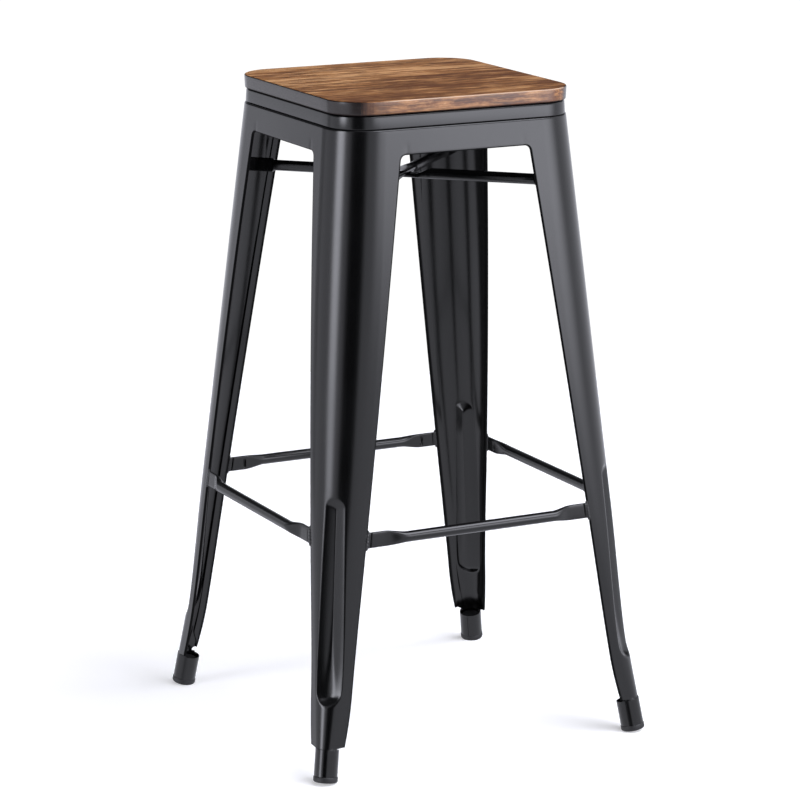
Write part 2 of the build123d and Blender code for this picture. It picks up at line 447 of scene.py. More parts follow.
@dataclass(frozen=True)
class Flute:
    """Groove pressed into the outer corner of a leg, wider towards the foot."""

    low: float = 0.1072
    high: float = 0.3105
    low_half: float = 0.0180
    high_half: float = 0.0118
    wall: float = 0.378
    low_end: float = 1.40
    high_end: float = 0.50
    deepest: float = 0.0100
    shoulder: float = 0.0007
    crease: float = 0.0008
    valley: float = 0.0004
    spoon: float = 0.0065
    spoon_low: float = 0.0952
    spoon_high: float = 0.1572
    spoon_flat: float = 0.35
    fade_in: tuple[float, float] = (0.080, 0.087)
    fade_out: tuple[float, float] = (0.326, 0.334)

    def depth(self, across: np.ndarray, height: np.ndarray, radius: np.ndarray) -> np.ndarray:
        """Inward depth of the pressing.

        Two flat walls meet in a V: each wall's depth is a slope from the rim plus the bulge of
        the corner arc over its chord. A sloping face with a half-round outline closes each end.
        The valley is sharp above and rounds out to a spoon at the foot.
        The depth is the rounded minimum of walls, end faces and the deepest allowed, and its
        shoulder is the rounded maximum with zero.

        Args:
            across: Distance along the skin from the middle of the corner.
            height: Height above the floor.
            radius: Radius of the corner arc.

        Returns:
            Depth at every point.
        """
        half = np.interp(height, (self.low, self.high), (self.low_half, self.high_half))
        across = np.abs(across)
        rounded = np.sqrt(np.clip(half**2 - across**2, 0.0, None))
        valley = self.valley + self.spoon * (1.0 - smooth_step(height, self.spoon_low, self.spoon_high)) ** 2
        share = np.clip(1.0 - across / half, 0.0, 1.0)
        blunt = np.sqrt(across**2 + valley**2) - valley * share * self.spoon_flat
        walls = self.wall * (half - blunt) + (half**2 - across**2) / (2.0 * radius)
        low_face = self.low_end * (height - (self.low - rounded))
        high_face = self.high_end * ((self.high + rounded) - height)
        field = soft_pick(walls, low_face, self.crease + self.spoon_flat * valley)
        field = soft_pick(field, high_face, self.crease)
        field = soft_pick(field, self.deepest, 2.0 * self.crease + 0.5 * valley)
        raised = soft_pick(field - self.shoulder / 4, 0.0, self.shoulder, 1.0)
        reach = smooth_step(half + 2.5 * self.shoulder - across, 0.0, 2.0 * self.shoulder)
        return raised * reach * smooth_step(height, *self.fade_in) * (1 - smooth_step(height, *self.fade_out))


@dataclass(frozen=True)
class PressedLeg:
    """One leg: a pressed corner sheet with hems, flute, top flange and rolled foot sleeve."""

    shape: FrameShape
    foot: FootAxis
    flute: Flute
    flange_columns: int = 12
    arc_columns: int = 64
    overlap: float = math.radians(58.0)
    bite: float = 0.0042
    slit: float = math.radians(1.6)
    gap_middle: float = math.radians(225.0)
    fine_pitch: float = 0.0012
    flute_pitch: float = 0.0040
    plain_pitch: float = 0.0085
    flute_foot: float = 0.128
    flute_head: tuple[float, float] = (0.288, 0.336)
    arm_points: int = 3
    fillet_points: int = 9
    hem_fade: tuple[float, float] = (0.044, 0.062)
    least_hem: float = 1.3
    neck_gap: float = 0.0012
    neck_start: float = -0.15
    neck_power: float = 0.8
    bite_power: float = 0.6

    def edge_path(self) -> np.ndarray:
        """Opening edge from the flange's foot to the seam, as (across, height) points.

        A parabola kicks out below the knee, a straight run rises to the apron, a quarter turn of
        the opening's corner radius follows, and a level run ends at the seam. Rows are close
        together where the flute starts and ends.

        Returns:
            Points by two, rising.
        """
        shape = self.shape
        knee, end = np.array(shape.knee), np.array(shape.edge_end)
        drop = (knee[1] - end[1]) / 2
        control = np.array([knee[0] + shape.edge_slope * drop, knee[1] - drop])
        share = np.linspace(0.0, 1.0, 26, endpoint=False)[:, None]
        kick = (1 - share) ** 2 * end + 2 * share * (1 - share) * control + share**2 * knee
        slope = np.array([-shape.edge_slope, 1.0]) / math.hypot(shape.edge_slope, 1.0)
        turn = math.pi / 2 - math.atan(shape.edge_slope)
        tangent = shape.opening_corner * math.tan(turn / 2)
        corner = np.array([shape.edge_top, shape.apron_bottom])
        start = corner - tangent * slope
        heights = np.concatenate([
            np.arange(knee[1], self.flute_foot, self.fine_pitch),
            np.arange(self.flute_foot, self.flute_head[0], self.flute_pitch),
            np.arange(*self.flute_head, self.fine_pitch),
            np.arange(self.flute_head[1], start[1] - self.flute_pitch, self.plain_pitch),
        ])
        straight = np.stack([shape.edge(heights), heights], axis=-1)
        side = np.array([-slope[1], slope[0]])
        angles = np.linspace(0.0, turn, self.fillet_points)[:, None]
        centre = start + shape.opening_corner * side
        fillet = centre - shape.opening_corner * (np.cos(angles) * side - np.sin(angles) * slope)
        level = np.linspace(fillet[-1, 0], shape.seam, self.arm_points + 1)[1:]
        arm = np.stack([level, np.full(self.arm_points, shape.apron_bottom)], axis=-1)
        return np.concatenate([kick, straight, fillet, arm])

    def corner_heights(self, path: np.ndarray) -> tuple[np.ndarray, float]:
        """Height of each row at the leg's corner, and the pace that the head rows keep.

        Rows are level up to the fillet. From there the corner's share of the rise follows the
        length run along the edge, so that both reach the frame's top together.

        Args:
            path: Edge points.

        Returns:
            Corner heights, and metres of rise per metre of edge.
        """
        steps = np.linalg.norm(np.diff(path, axis=0), axis=1)
        run = np.concatenate([[0.0], np.cumsum(steps)])
        level = len(path) - self.fillet_points - self.arm_points
        seam_rise = self.shape.top - self.shape.apron_bottom
        pace = (self.shape.top - path[level, 1]) / (run[-1] - run[level] + seam_rise)
        heights = path[:, 1].copy()
        heights[level:] = path[level, 1] + pace * (run[level:] - run[level])
        return heights, pace

    def half_rows(
        self, edge: np.ndarray, corner: np.ndarray, inset: np.ndarray
    ) -> tuple[np.ndarray, np.ndarray]:
        """Flange and half of the corner arc for each row, on the +Y face.

        The flange runs straight from the edge to where the arc starts, and its height blends
        from the edge's to the corner's. The arc is centre plus radius times (sin, cos).

        Args:
            edge: (across, height) where each row's flange starts.
            corner: Height of each row at the corner.
            inset: Inward offset of each row.

        Returns:
            Points, and the distance of each from the middle of the corner along the skin.
        """
        shape = self.shape
        half, radius = shape.half(corner)[:, None], shape.corner(corner)[:, None]
        share = np.linspace(0.0, 1.0, self.flange_columns, endpoint=False)[None, :]
        height = edge[:, 1:] + (corner[:, None] - edge[:, 1:]) * share
        across = edge[:, :1] + (half - radius - edge[:, :1]) * share
        face = shape.half(height) - inset[:, None] - shape.weld_sink(across, height)
        flange = np.stack([across, face, height], axis=-1)
        angle = np.linspace(0.0, math.pi / 4, self.arc_columns)[None, :]
        skin = radius - inset[:, None]
        arc = np.stack([
            half - radius + skin * np.sin(angle),
            half - radius + skin * np.cos(angle),
            np.broadcast_to(corner[:, None], (len(corner), self.arc_columns)),
        ], axis=-1)
        flat_reach = (half - radius - across) + radius * math.pi / 4
        reach = np.concatenate([flat_reach, radius * (math.pi / 4 - angle)], axis=1)
        return np.concatenate([flange, arc], axis=1), reach

    def pressed(self, points: np.ndarray, reach: np.ndarray) -> np.ndarray:
        """Push the flute into half rows, each point along its own face's inward normal."""
        angle = np.linspace(0.0, math.pi / 4, self.arc_columns)
        lean = np.concatenate([np.zeros(self.flange_columns), angle])
        inward = -np.stack([np.sin(lean), np.cos(lean), np.zeros_like(lean)], axis=-1)
        depth = self.flute.depth(reach, points[..., 2], self.shape.corner(points[..., 2]))
        return points + depth[..., None] * inward

    @staticmethod
    def both_halves(points: np.ndarray) -> np.ndarray:
        """Complete rows by mirroring all but the middle column across the plane x = y."""
        mirror = points[:, -2::-1][..., [1, 0, 2]]
        return np.concatenate([points, mirror], axis=1)

    def hem_columns(self, path: np.ndarray) -> np.ndarray:
        """Flat hem and its fold along the opening edge.

        The fold is a half circle from the face round the edge to the inside, and the hem runs
        straight back behind the flange. The hem narrows to the fold alone at the flange's foot.

        Args:
            path: Edge points.

        Returns:
            Rows by columns by three, from the hem's rim to the start of the flange.
        """
        shape = self.shape
        side = self.edge_side(path)
        angle = np.linspace(math.pi, 0.0, FOLD_POINTS + 1)[:-1]
        fade = smooth_step(path[:, 1], *self.hem_fade)[:, None]
        least = self.least_hem * shape.fold
        width = least + (shape.hem - least) * fade
        rim = width + (shape.fold - width) * np.array([0.0, 0.5])
        turn = np.broadcast_to(shape.fold * (1 - np.sin(angle)), (len(path), FOLD_POINTS))
        back = np.concatenate([rim, turn], axis=1)
        depth = np.concatenate([np.full(HEM_POINTS, 2 * shape.fold), shape.fold * (1 - np.cos(angle))])
        place = path[:, None, :] - back[..., None] * side[:, None, :]
        face = shape.half(place[..., 1]) - depth
        return np.stack([place[..., 0], face, place[..., 1]], axis=-1)

    @staticmethod
    def edge_side(path: np.ndarray) -> np.ndarray:
        """Direction from the sheet into the opening, square to the edge at each of its points."""
        along = unit(np.gradient(path, axis=0))
        return np.stack([-along[:, 1], along[:, 0]], axis=-1)

    def shaft(self) -> tuple[Patch, np.ndarray, np.ndarray, float]:
        """Skin from the flange's foot to the seam's foot, hems included.

        Returns:
            The patch, its first and last rows without hems, and the head rows' pace.
        """
        path = self.edge_path()
        corner, pace = self.corner_heights(path)
        start = path - self.shape.fold * self.edge_side(path)
        rows, reach = self.half_rows(start, corner, np.zeros(len(path)))
        rows = self.pressed(rows, reach)
        full = self.both_halves(np.concatenate([self.hem_columns(path), rows], axis=1))
        bare = self.both_halves(rows)
        # points on the fold, which the coat turns into a dark line as painted shade
        fold = np.zeros(full.shape[1])
        fold[HEM_POINTS : HEM_POINTS + FOLD_POINTS + 1] = 1.0
        return Patch(full, rim=np.maximum(fold, fold[::-1])), bare[0], bare[-1], pace

    def head(self, first: np.ndarray, pace: float) -> Patch:
        """Arm above the opening: face up to the top bend, the bend, and the inward top flange.

        Args:
            first: Last row of the shaft without its hems.
            pace: Rise of the corner per metre of seam.

        Returns:
            The patch.
        """
        shape = self.shape
        low, straight = first[0, 2], shape.top - shape.top_bend
        seam = np.linspace(low, straight, 12)[1:]
        corner_low = first[self.flange_columns + 1, 2]
        corner = np.interp(seam, (low, straight), (corner_low, straight))
        bend = np.linspace(0.0, math.pi / 2, 5)[1:]
        flange = np.linspace(shape.top_bend, shape.top_flange, 5)[1:]
        inset = np.concatenate([np.zeros(len(seam)), shape.top_bend * (1 - np.cos(bend)), flange])
        rise = np.concatenate([straight + shape.top_bend * np.sin(bend), np.full(4, shape.top)])
        seam, corner = np.concatenate([seam, rise]), np.concatenate([corner, rise])
        edge = np.stack([np.full(len(seam), shape.seam), seam], axis=-1)
        rows, _ = self.half_rows(edge, corner, inset)
        return Patch(np.concatenate([first[None], self.both_halves(rows)]))

    def neck(self, last: np.ndarray) -> tuple[Patch, np.ndarray, np.ndarray]:
        """Skin between the flanges' foot and the sleeve, with the half-round relief beside it.

        Each row blends from the L-shaped section above to an arc of the sleeve's ring below.

        Args:
            last: Lowest row of the shaft without its hems.

        Returns:
            The patch, the ring angles of its columns, and its lowest row.
        """
        flange = np.linspace(-self.overlap, 0.0, self.flange_columns, endpoint=False)
        arc = np.linspace(0.0, math.pi / 4, self.arc_columns)
        half = np.concatenate([flange, arc])
        angle = np.concatenate([half, (math.pi / 2 - half[:-1])[::-1]])
        share = np.linspace(0.0, 1.0, 12)[:, None]
        high = np.full_like(angle, self.foot.sleeve_high + self.neck_gap)
        ring = self.foot.ring(angle, high, self.foot.radius)
        pull = smooth_step(share, self.neck_start, 1.0) ** self.neck_power
        pull = (pull - pull[0]) / (pull[-1] - pull[0])
        rows = last[None] * (1 - pull[..., None]) + ring[None] * pull[..., None]
        drop = share[..., None] * (ring[None, :, 2:] - last[None, :, 2:])
        rows[..., 2:] = last[None, :, 2:] + drop
        reach = np.clip(1.0 - np.arange(len(angle)) / self.flange_columns, 0.0, 1.0)
        cut = self.bite * np.sin(math.pi * share) ** self.bite_power
        rows[..., 0] += cut * reach
        rows[..., 1] += cut * reach[::-1]
        return Patch(rows[::-1]), angle, rows[-1]

    def sleeve(self, angle: np.ndarray, top: np.ndarray) -> list[Patch]:
        """Rolled sleeve: the arc under the neck, and the wrap round the inside with its free rim.

        Args:
            angle: Ring angles shared with the neck.
            top: Lowest row of the neck.

        Returns:
            Patches that share their end columns.
        """
        foot = self.foot
        heights = np.linspace(foot.sleeve_high, foot.sleeve_low, 10)
        outer = foot.ring(angle[None, :], heights[:, None], foot.radius)
        wraps = []
        slit_low, slit_high = self.gap_middle - self.slit / 2, self.gap_middle + self.slit / 2
        for start, stop in ((angle[-1], slit_low), (slit_high - 2 * math.pi, angle[0])):
            span = np.linspace(start, stop, 26)
            wraps.append(Patch(foot.ring(span[None, :], heights[:, None], foot.radius), flip=True))
        skin = np.concatenate([top[None], outer])
        return [Patch(skin, flip=True), *wraps]

    def build(self, corner: Corner, outfit: Outfit) -> bpy.types.Object:
        """Make and dress the leg at one corner.

        Args:
            corner: Where the leg stands.
            outfit: Coated sheet.

        Returns:
            The leg's object.
        """
        shaft, low_row, high_row, pace = self.shaft()
        neck, angle, neck_row = self.neck(low_row)
        patches = [neck, shaft, self.head(high_row, pace), *self.sleeve(angle, neck_row)]
        return outfit.piece(f"leg_sheet_{corner.label}", patches, f"leg_{corner.label}", corner.quarters)


# ------------------------------------------------------------------ apron rails


@dataclass(frozen=True)
class ApronRail:
    """Sheet rail between two leg seams: hem, fold, face, top bend and top flange."""

    shape: FrameShape
    seam_zone: float = 0.008

    def skin(self) -> Patch:
        """Outer skin of the back rail: a profile of (height, inset) carried along X.

        Returns:
            The patch.
        """
        shape = self.shape
        quarter = np.linspace(0.0, math.pi / 2, 5)
        turn = np.linspace(math.pi, 0.0, FOLD_POINTS + 1)[:-1]
        low = shape.apron_bottom + shape.fold
        high = shape.top - shape.top_bend
        height = np.concatenate([
            shape.apron_bottom + np.array([shape.hem, 0.5 * (shape.hem + shape.fold)]),
            shape.apron_bottom + shape.fold * (1 - np.sin(turn)),
            np.linspace(low, high, 14), high + shape.top_bend * np.sin(quarter[1:]), np.full(4, shape.top),
        ])
        inset = np.concatenate([
            np.full(HEM_POINTS, 2 * shape.fold), shape.fold * (1 - np.cos(turn)),
            np.zeros(14), shape.top_bend * (1 - np.cos(quarter[1:])),
            np.linspace(shape.top_bend, shape.top_flange, 5)[1:],
        ])
        inner = shape.seam - self.seam_zone
        fine = np.linspace(inner, shape.seam, 12)
        across = np.concatenate([-fine[::-1], np.linspace(-inner, inner, 19)[1:-1], fine])
        height, inset, across = height[:, None], inset[:, None], across[None, :]
        face = shape.half(height) - inset - shape.weld_sink(across, height) * (inset < shape.fold / 2)
        # points on the fold, which the coat turns into a dark line as painted shade
        fold = np.zeros((len(height), 1))
        fold[HEM_POINTS : HEM_POINTS + FOLD_POINTS] = 1.0
        return Patch(np.stack(np.broadcast_arrays(across, face, height), axis=-1), rim=fold)

    def build(self, side: Side, outfit: Outfit) -> bpy.types.Object:
        """Make and dress the rail on one side."""
        return outfit.piece(f"apron_sheet_{side.label}", [self.skin()], f"apron_{side.label}", side.quarters)


# ------------------------------------------------------------------ tubes


@dataclass(frozen=True)
class TubeSection:
    """Superellipse section: half width, half height and squareness (2 is an ellipse)."""

    half_width: float
    half_height: float
    squareness: float = 2.0


def pressed_skin(
    place: np.ndarray, press: np.ndarray, plain: TubeSection, flat: TubeSection, columns: int = 48
) -> np.ndarray:
    """Skin of a tube along X pressed from one section to another.

    The section is a superellipse, width times cos^(2/n) by height times sin^(2/n), whose half
    sizes and squareness n blend with the press.

    Args:
        place: Place of each row along X.
        press: 0 where the tube is round and 1 where it is flat, per row.
        plain: Section of the plain tube.
        flat: Section where it is pressed.
        columns: Points round the section.

    Returns:
        Rows by columns by three, centred on the X axis.
    """
    angle = np.linspace(0.0, 2 * math.pi, columns, endpoint=False)[None, :]
    press = press[:, None]
    width = plain.half_width + (flat.half_width - plain.half_width) * press
    height = plain.half_height + (flat.half_height - plain.half_height) * press
    power = 2.0 / (plain.squareness + (flat.squareness - plain.squareness) * press)
    cosine, sine = np.cos(angle), np.sin(angle)
    y = width * np.sign(cosine) * np.abs(cosine) ** power
    z = height * np.sign(sine) * np.abs(sine) ** power
    return np.stack([np.broadcast_to(place[:, None], y.shape), y, z], axis=-1)


def capped(rows: np.ndarray) -> np.ndarray:
    """Close a tube by adding the middle of its first and last rows as poles."""
    first = np.broadcast_to(rows[0].mean(axis=0), rows[0].shape)
    last = np.broadcast_to(rows[-1].mean(axis=0), rows[-1].shape)
    return np.concatenate([first[None], rows, last[None]])


@dataclass(frozen=True)
class Stretcher:
    """Footrest tube whose ends are pressed into upright tongues welded to the leg edges."""

    shape: FrameShape
    height: float
    offset: float = 0.1902
    radius: float = 0.0062
    tongue_start: float = 0.122
    blend: float = 0.028
    bulge: float = 0.0044
    groove: float = 0.0046
    groove_half: float = 0.0006
    groove_share: float = 0.75
    slot_place: float = 0.0210
    slot_half: float = 0.0013
    slot_depth: float = 0.0030
    slot_reach: float = 0.0050
    bead_radius: float = 0.0024
    bead_foot: float = 0.0009
    bead_over: float = 0.0028
    bead_sink: float = 0.0006
    bead_points: int = 44
    tongue: TubeSection = TubeSection(0.0018, 0.0088, 5.0)

    def skin(self) -> Patch:
        """Tube skin; the tongues lean with the leg face and end on its slanted edges.

        Returns:
            The patch.
        """
        half_run = np.concatenate([
            np.linspace(0.0, self.tongue_start - self.blend, 10, endpoint=False),
            np.linspace(self.tongue_start - self.blend, self.tongue_start, 40, endpoint=False),
            np.linspace(self.tongue_start, float(self.shape.edge(self.height)), 36),
        ])
        place = np.concatenate([-half_run[:0:-1], half_run])
        press = smooth_step(np.abs(place), self.tongue_start - self.blend, self.tongue_start)
        rows = pressed_skin(place, press, TubeSection(self.radius, self.radius), self.tongue)
        groove = np.exp(-(((half_run[-1] - self.groove - np.abs(place)) / self.groove_half) ** 2))
        rows[..., 1] *= 1.0 - self.groove_share * groove[:, None]
        slot = np.exp(-(((half_run[-1] - self.slot_place - np.abs(place)) / self.slot_half) ** 4))[:, None]
        middle = np.exp(-((rows[..., 2] / self.slot_reach) ** 6))
        rows[..., 1] += self.slot_depth * slot * (rows[..., 1] < 0.0) * middle
        lean = float(self.shape.half(self.height - 0.01) - self.shape.half(self.height + 0.01)) / 0.02
        pressed = press[:, None]
        rows[..., 1] += self.offset + (1.0 - pressed) * self.bulge - pressed * lean * rows[..., 2]
        slant = smooth_step(np.abs(place), self.tongue_start, half_run[-1])[:, None]
        rows[..., 0] -= np.sign(place)[:, None] * slant * self.shape.edge_slope * rows[..., 2]
        rows[..., 2] += self.height
        return Patch(capped(rows), closed=True)

    def bead(self, sign: float, seed: int) -> Patch:
        """Weld bead up the joint between a tongue and the leg's edge.

        A half-round ridge follows the slanted edge. Its radius swells with a ripple along its
        length and shrinks to nothing at both ends.

        Args:
            sign: -1 for the joint at -X, 1 for the joint at +X.
            seed: Seed of the ripple's irregularity.

        Returns:
            The patch.
        """
        rng = np.random.default_rng(seed)
        share = np.linspace(0.0, 1.0, self.bead_points)
        length = self.tongue.half_height + self.bead_over
        height = self.height + length * (2 * share - 1)
        ripple = 1 + 0.16 * np.sin(2 * math.pi * 6.5 * share + rng.uniform(0, 6))
        ripple = ripple + 0.05 * rng.normal(size=self.bead_points)
        body = np.clip(np.sin(math.pi * share), 0.0, None) ** 0.32
        radius = (self.bead_radius + self.bead_foot * (1 - share) ** 2) * ripple * body
        radius[[0, -1]] = 0.0
        angle = np.linspace(0.0, 2 * math.pi, 18, endpoint=False)[None, :]
        across = self.shape.edge(height)[:, None] + radius[:, None] * np.cos(angle)
        skin = (self.shape.half(height) - self.bead_sink)[:, None]
        face = skin + 0.75 * radius[:, None] * np.sin(angle)
        points = np.stack([sign * across, face, np.broadcast_to(height[:, None], face.shape)], axis=-1)
        return Patch(points, closed=True, flip=sign > 0)

    def build(self, side: Side, tube: Outfit, weld: Outfit) -> list[bpy.types.Object]:
        """Make and dress the stretcher on one side, with its two weld beads.

        Args:
            side: Side of the stool.
            tube: Coated tube.
            weld: Coated weld.

        Returns:
            The tube and its beads.
        """
        name, node = f"stretcher_tube_{side.label}", f"stretcher_{side.label}"
        beads = [self.bead(-1.0, 10 + side.quarters), self.bead(1.0, 20 + side.quarters)]
        return [
            tube.piece(name, [self.skin()], node, side.quarters),
            weld.piece(f"stretcher_welds_{side.label}", beads, None, side.quarters),
        ]


class BraceLevel(Enum):
    """Which brace tube: node ending, direction of its run in XY, side of its flat middle."""

    UPPER = ("upper", (1.0, 1.0), 1.0)
    LOWER = ("lower", (1.0, -1.0), -1.0)


@dataclass(frozen=True)
class BraceTube:
    """Brace across a diagonal: flat where it crosses its twin, upright tongues in the legs."""

    shape: FrameShape
    height: float
    radius: float = 0.00635
    cross_half: float = 0.015
    cross_blend: float = 0.020
    tongue_start: float = 0.163
    tongue_blend: float = 0.0045
    flat: TubeSection = TubeSection(0.0093, 0.0025, 4.0)
    tongue: TubeSection = TubeSection(0.0024, 0.0082, 5.0)

    def skin(self, level: BraceLevel) -> Patch:
        """Tube skin along its diagonal, cut to the inside of the leg corners.

        Args:
            level: Which of the two braces.

        Returns:
            The patch.
        """
        _, direction, lift = level.value
        crest = float(self.shape.half(self.height) - self.shape.corner(self.height) * (1 - math.sqrt(0.5)))
        reach = crest * math.sqrt(2.0) - self.shape.sheet
        middle = self.cross_half + self.cross_blend
        half_run = np.concatenate([
            np.linspace(0.0, self.cross_half, 5, endpoint=False),
            np.linspace(self.cross_half, middle, 12, endpoint=False),
            np.linspace(middle, self.tongue_start - self.tongue_blend, 8, endpoint=False),
            np.linspace(self.tongue_start - self.tongue_blend, self.tongue_start, 10, endpoint=False),
            np.linspace(self.tongue_start, reach, 6),
        ])
        place = np.concatenate([-half_run[:0:-1], half_run])
        away = np.abs(place)
        plain = TubeSection(self.radius, self.radius)
        crossing = 1.0 - smooth_step(away, self.cross_half, middle)
        ends = smooth_step(away, self.tongue_start - self.tongue_blend, self.tongue_start)
        flat = pressed_skin(place, crossing, plain, self.flat)
        tongue = pressed_skin(place, ends, plain, self.tongue)
        rows = np.where((away < 0.5 * self.tongue_start)[:, None, None], flat, tongue)
        rows[..., 2] += lift * self.flat.half_height * crossing[:, None]
        along = np.array([*direction, 0.0]) / math.sqrt(2.0)
        side = np.array([-direction[1], direction[0], 0.0]) / math.sqrt(2.0)
        rows = rows[..., :1] * along + rows[..., 1:2] * side + rows[..., 2:] * UP
        rows[..., 2] += self.height
        return Patch(capped(rows), closed=True)

    def build(self, level: BraceLevel, outfit: Outfit) -> bpy.types.Object:
        """Make and dress one brace."""
        return outfit.piece(f"brace_tube_{level.value[0]}", [self.skin(level)], f"brace_{level.value[0]}")


# ------------------------------------------------------------------ foot plugs


@dataclass(frozen=True)
class FootPlug:
    """Moulded plug: stem inside the sleeve, cap below it, worn flat on the floor."""

    foot: FootAxis
    cap_radius: float = 0.0140
    cap_height: float = 0.0070
    cap_round: float = 0.0022
    ease: float = 0.0007
    clearance: float = 0.0016
    stem_bevel: float = 0.001

    def skin(self) -> Patch:
        """Profile of (height on the axis, radius) turned round the foot's axis.

        The cap has an eased upper rim and a rounded lower rim. What would reach below the floor
        is worn flat.

        Returns:
            The patch.
        """
        foot = self.foot
        rise = 1.0 / math.sqrt(1.0 + 2.0 * foot.lean**2)
        end = foot.sleeve_low - self.cap_height * rise
        turn = np.linspace(0.0, math.pi / 2, 7)
        low_height = end + self.cap_round * rise * (1 - np.cos(turn))
        low_radius = self.cap_radius - self.cap_round * (1 - np.sin(turn))
        ease, bevel = self.ease, self.stem_bevel
        stem = foot.radius - self.clearance
        height = np.concatenate([
            [end, end], low_height, [foot.sleeve_low - 1.6 * ease, foot.sleeve_low - 0.5 * ease],
            [foot.sleeve_low, foot.sleeve_low, foot.plug_high], [foot.plug_high + bevel] * 2,
        ])
        radius = np.concatenate([
            [0.0, 0.5 * self.cap_radius], low_radius, [self.cap_radius, self.cap_radius - 0.5 * ease],
            [self.cap_radius - 1.3 * ease, stem, stem, stem - bevel, 0.0],
        ])
        angle = np.linspace(0.0, 2 * math.pi, 56, endpoint=False)[None, :]
        points = foot.ring(angle, height[:, None], radius[:, None])
        points[..., 2] = np.maximum(points[..., 2], 0.0)
        return Patch(points, closed=True, flip=True)

    def build(self, corner: Corner, outfit: Outfit) -> bpy.types.Object:
        """Make and dress the plug at one corner."""
        name, node = f"plug_{corner.label}", f"foot_plug_{corner.label}"
        return outfit.piece(name, [self.skin()], node, corner.quarters)


# ------------------------------------------------------------------ seat


@dataclass(frozen=True)
class RoundedSquare:
    """Plan of the seat parts: half width and corner radius."""

    half: float
    corner: float
    arc_columns: int = 22
    side_columns: int = 14

    def path(self) -> tuple[np.ndarray, np.ndarray]:
        """Core points and outward directions round the plan.

        The outline at any inset is core plus (corner radius minus inset) times direction. The
        core is the square of the corner centres.

        Returns:
            Core points and unit directions, columns by two each.
        """
        core = self.half - self.corner
        cores, directions = [], []
        for quarter in range(4):
            angle = np.linspace(0.0, math.pi / 2, self.arc_columns, endpoint=False) + quarter * math.pi / 2
            sign = np.array([(1, 1), (-1, 1), (-1, -1), (1, -1)][quarter], float)
            cores.append(np.broadcast_to(core * sign, (self.arc_columns, 2)))
            directions.append(np.stack([np.cos(angle), np.sin(angle)], axis=-1))
            after = np.array([(-1, 1), (-1, -1), (1, -1), (1, 1)][quarter], float)
            share = np.linspace(0.0, 1.0, self.side_columns, endpoint=False)[:, None]
            cores.append(core * (sign + share * (after - sign)))
            face = (quarter + 1) * math.pi / 2
            directions.append(np.broadcast_to([math.cos(face), math.sin(face)], (self.side_columns, 2)))
        return np.concatenate(cores), np.concatenate(directions)

    def skin(self, height: np.ndarray, inset: np.ndarray) -> np.ndarray:
        """Carry a profile of (height, inset) round the plan.

        Past the point where the corner radius is used up, the plan shrinks towards the middle.

        Args:
            height: Height of each profile point.
            inset: Inset of each profile point; the half width is the middle.

        Returns:
            Rows by columns by three.
        """
        core, direction = self.path()
        round_limit = 0.9 * self.corner
        used = np.minimum(inset, round_limit)[:, None, None]
        rim = core[None] + (self.corner - used) * direction[None]
        shrink = np.clip((self.half - inset) / (self.half - round_limit), 0.0, 1.0)
        plan = rim * np.where(inset > round_limit, shrink, 1.0)[:, None, None]
        level = np.broadcast_to(height[:, None, None], plan.shape[:2] + (1,))
        return np.concatenate([plan, level], axis=-1)


@dataclass(frozen=True)
class SeatPan:
    """Pressed pan under the board: flat top, downturned rim and inward foot flange."""

    plan: RoundedSquare
    low: float
    high: float
    top_bend: float = 0.0028
    low_bend: float = 0.0014
    flange: float = 0.0140
    draft: float = 0.0010

    def skin(self) -> Patch:
        """Outer skin from the foot flange up the rim and over to the middle of the top."""
        quarter = np.linspace(0.0, math.pi / 2, 7)
        spread = np.array([0.010, 0.030, 0.040, 0.070, 0.100, 0.130, self.plan.half])
        inset = np.concatenate([
            np.linspace(self.flange, self.low_bend, 4, endpoint=False),
            self.low_bend * (1 - np.sin(quarter)), self.top_bend * (1 - np.cos(quarter)), spread,
        ])
        height = np.concatenate([
            np.full(4, self.low), self.low + self.low_bend * (1 - np.cos(quarter)),
            self.high - self.top_bend * (1 - np.sin(quarter)), np.full(7, self.high),
        ])
        share = (height - self.low) / (self.high - self.low)
        inset = inset + self.draft * share * (inset < 2 * self.top_bend)
        return Patch(self.plan.skin(height, inset), closed=True, flip=True)

    def build(self, outfit: Outfit) -> bpy.types.Object:
        """Make and dress the pan."""
        return outfit.piece("pan_sheet", [self.skin()], "seat_pan")


@dataclass(frozen=True)
class SeatBoard:
    """Solid wood board with eased edges."""

    plan: RoundedSquare
    low: float
    high: float
    top_round: float = 0.0019
    low_round: float = 0.0022
    draft: float = 0.0006

    def skin(self) -> Patch:
        """Closed skin from the middle of the underside round the edge to the middle of the top.

        The plan draws in by a hair towards the underside, as a sanded edge does.

        Returns:
            The patch.
        """
        quarter = np.linspace(0.0, math.pi / 2, 8)
        spread = np.array([self.plan.half, 0.12, 0.09, 0.06, 0.04, 0.02, 0.006])
        inset = np.concatenate([
            spread, self.draft + self.low_round * (1 - np.sin(quarter)),
            np.linspace(self.draft, 0.0, 5)[1:-1],
            self.top_round * (1 - np.cos(quarter)), spread[::-1],
        ])
        rise = np.linspace(self.low + self.low_round, self.high - self.top_round, 5)[1:-1]
        height = np.concatenate([
            np.full(7, self.low), self.low + self.low_round * (1 - np.cos(quarter)), rise,
            self.high - self.top_round * (1 - np.sin(quarter)), np.full(7, self.high),
        ])
        return Patch(self.plan.skin(height, inset), closed=True, flip=True)

    def build(self, outfit: Outfit) -> bpy.types.Object:
        """Make and dress the board."""
        return outfit.piece("wood_board", [self.skin()], "seat_board")


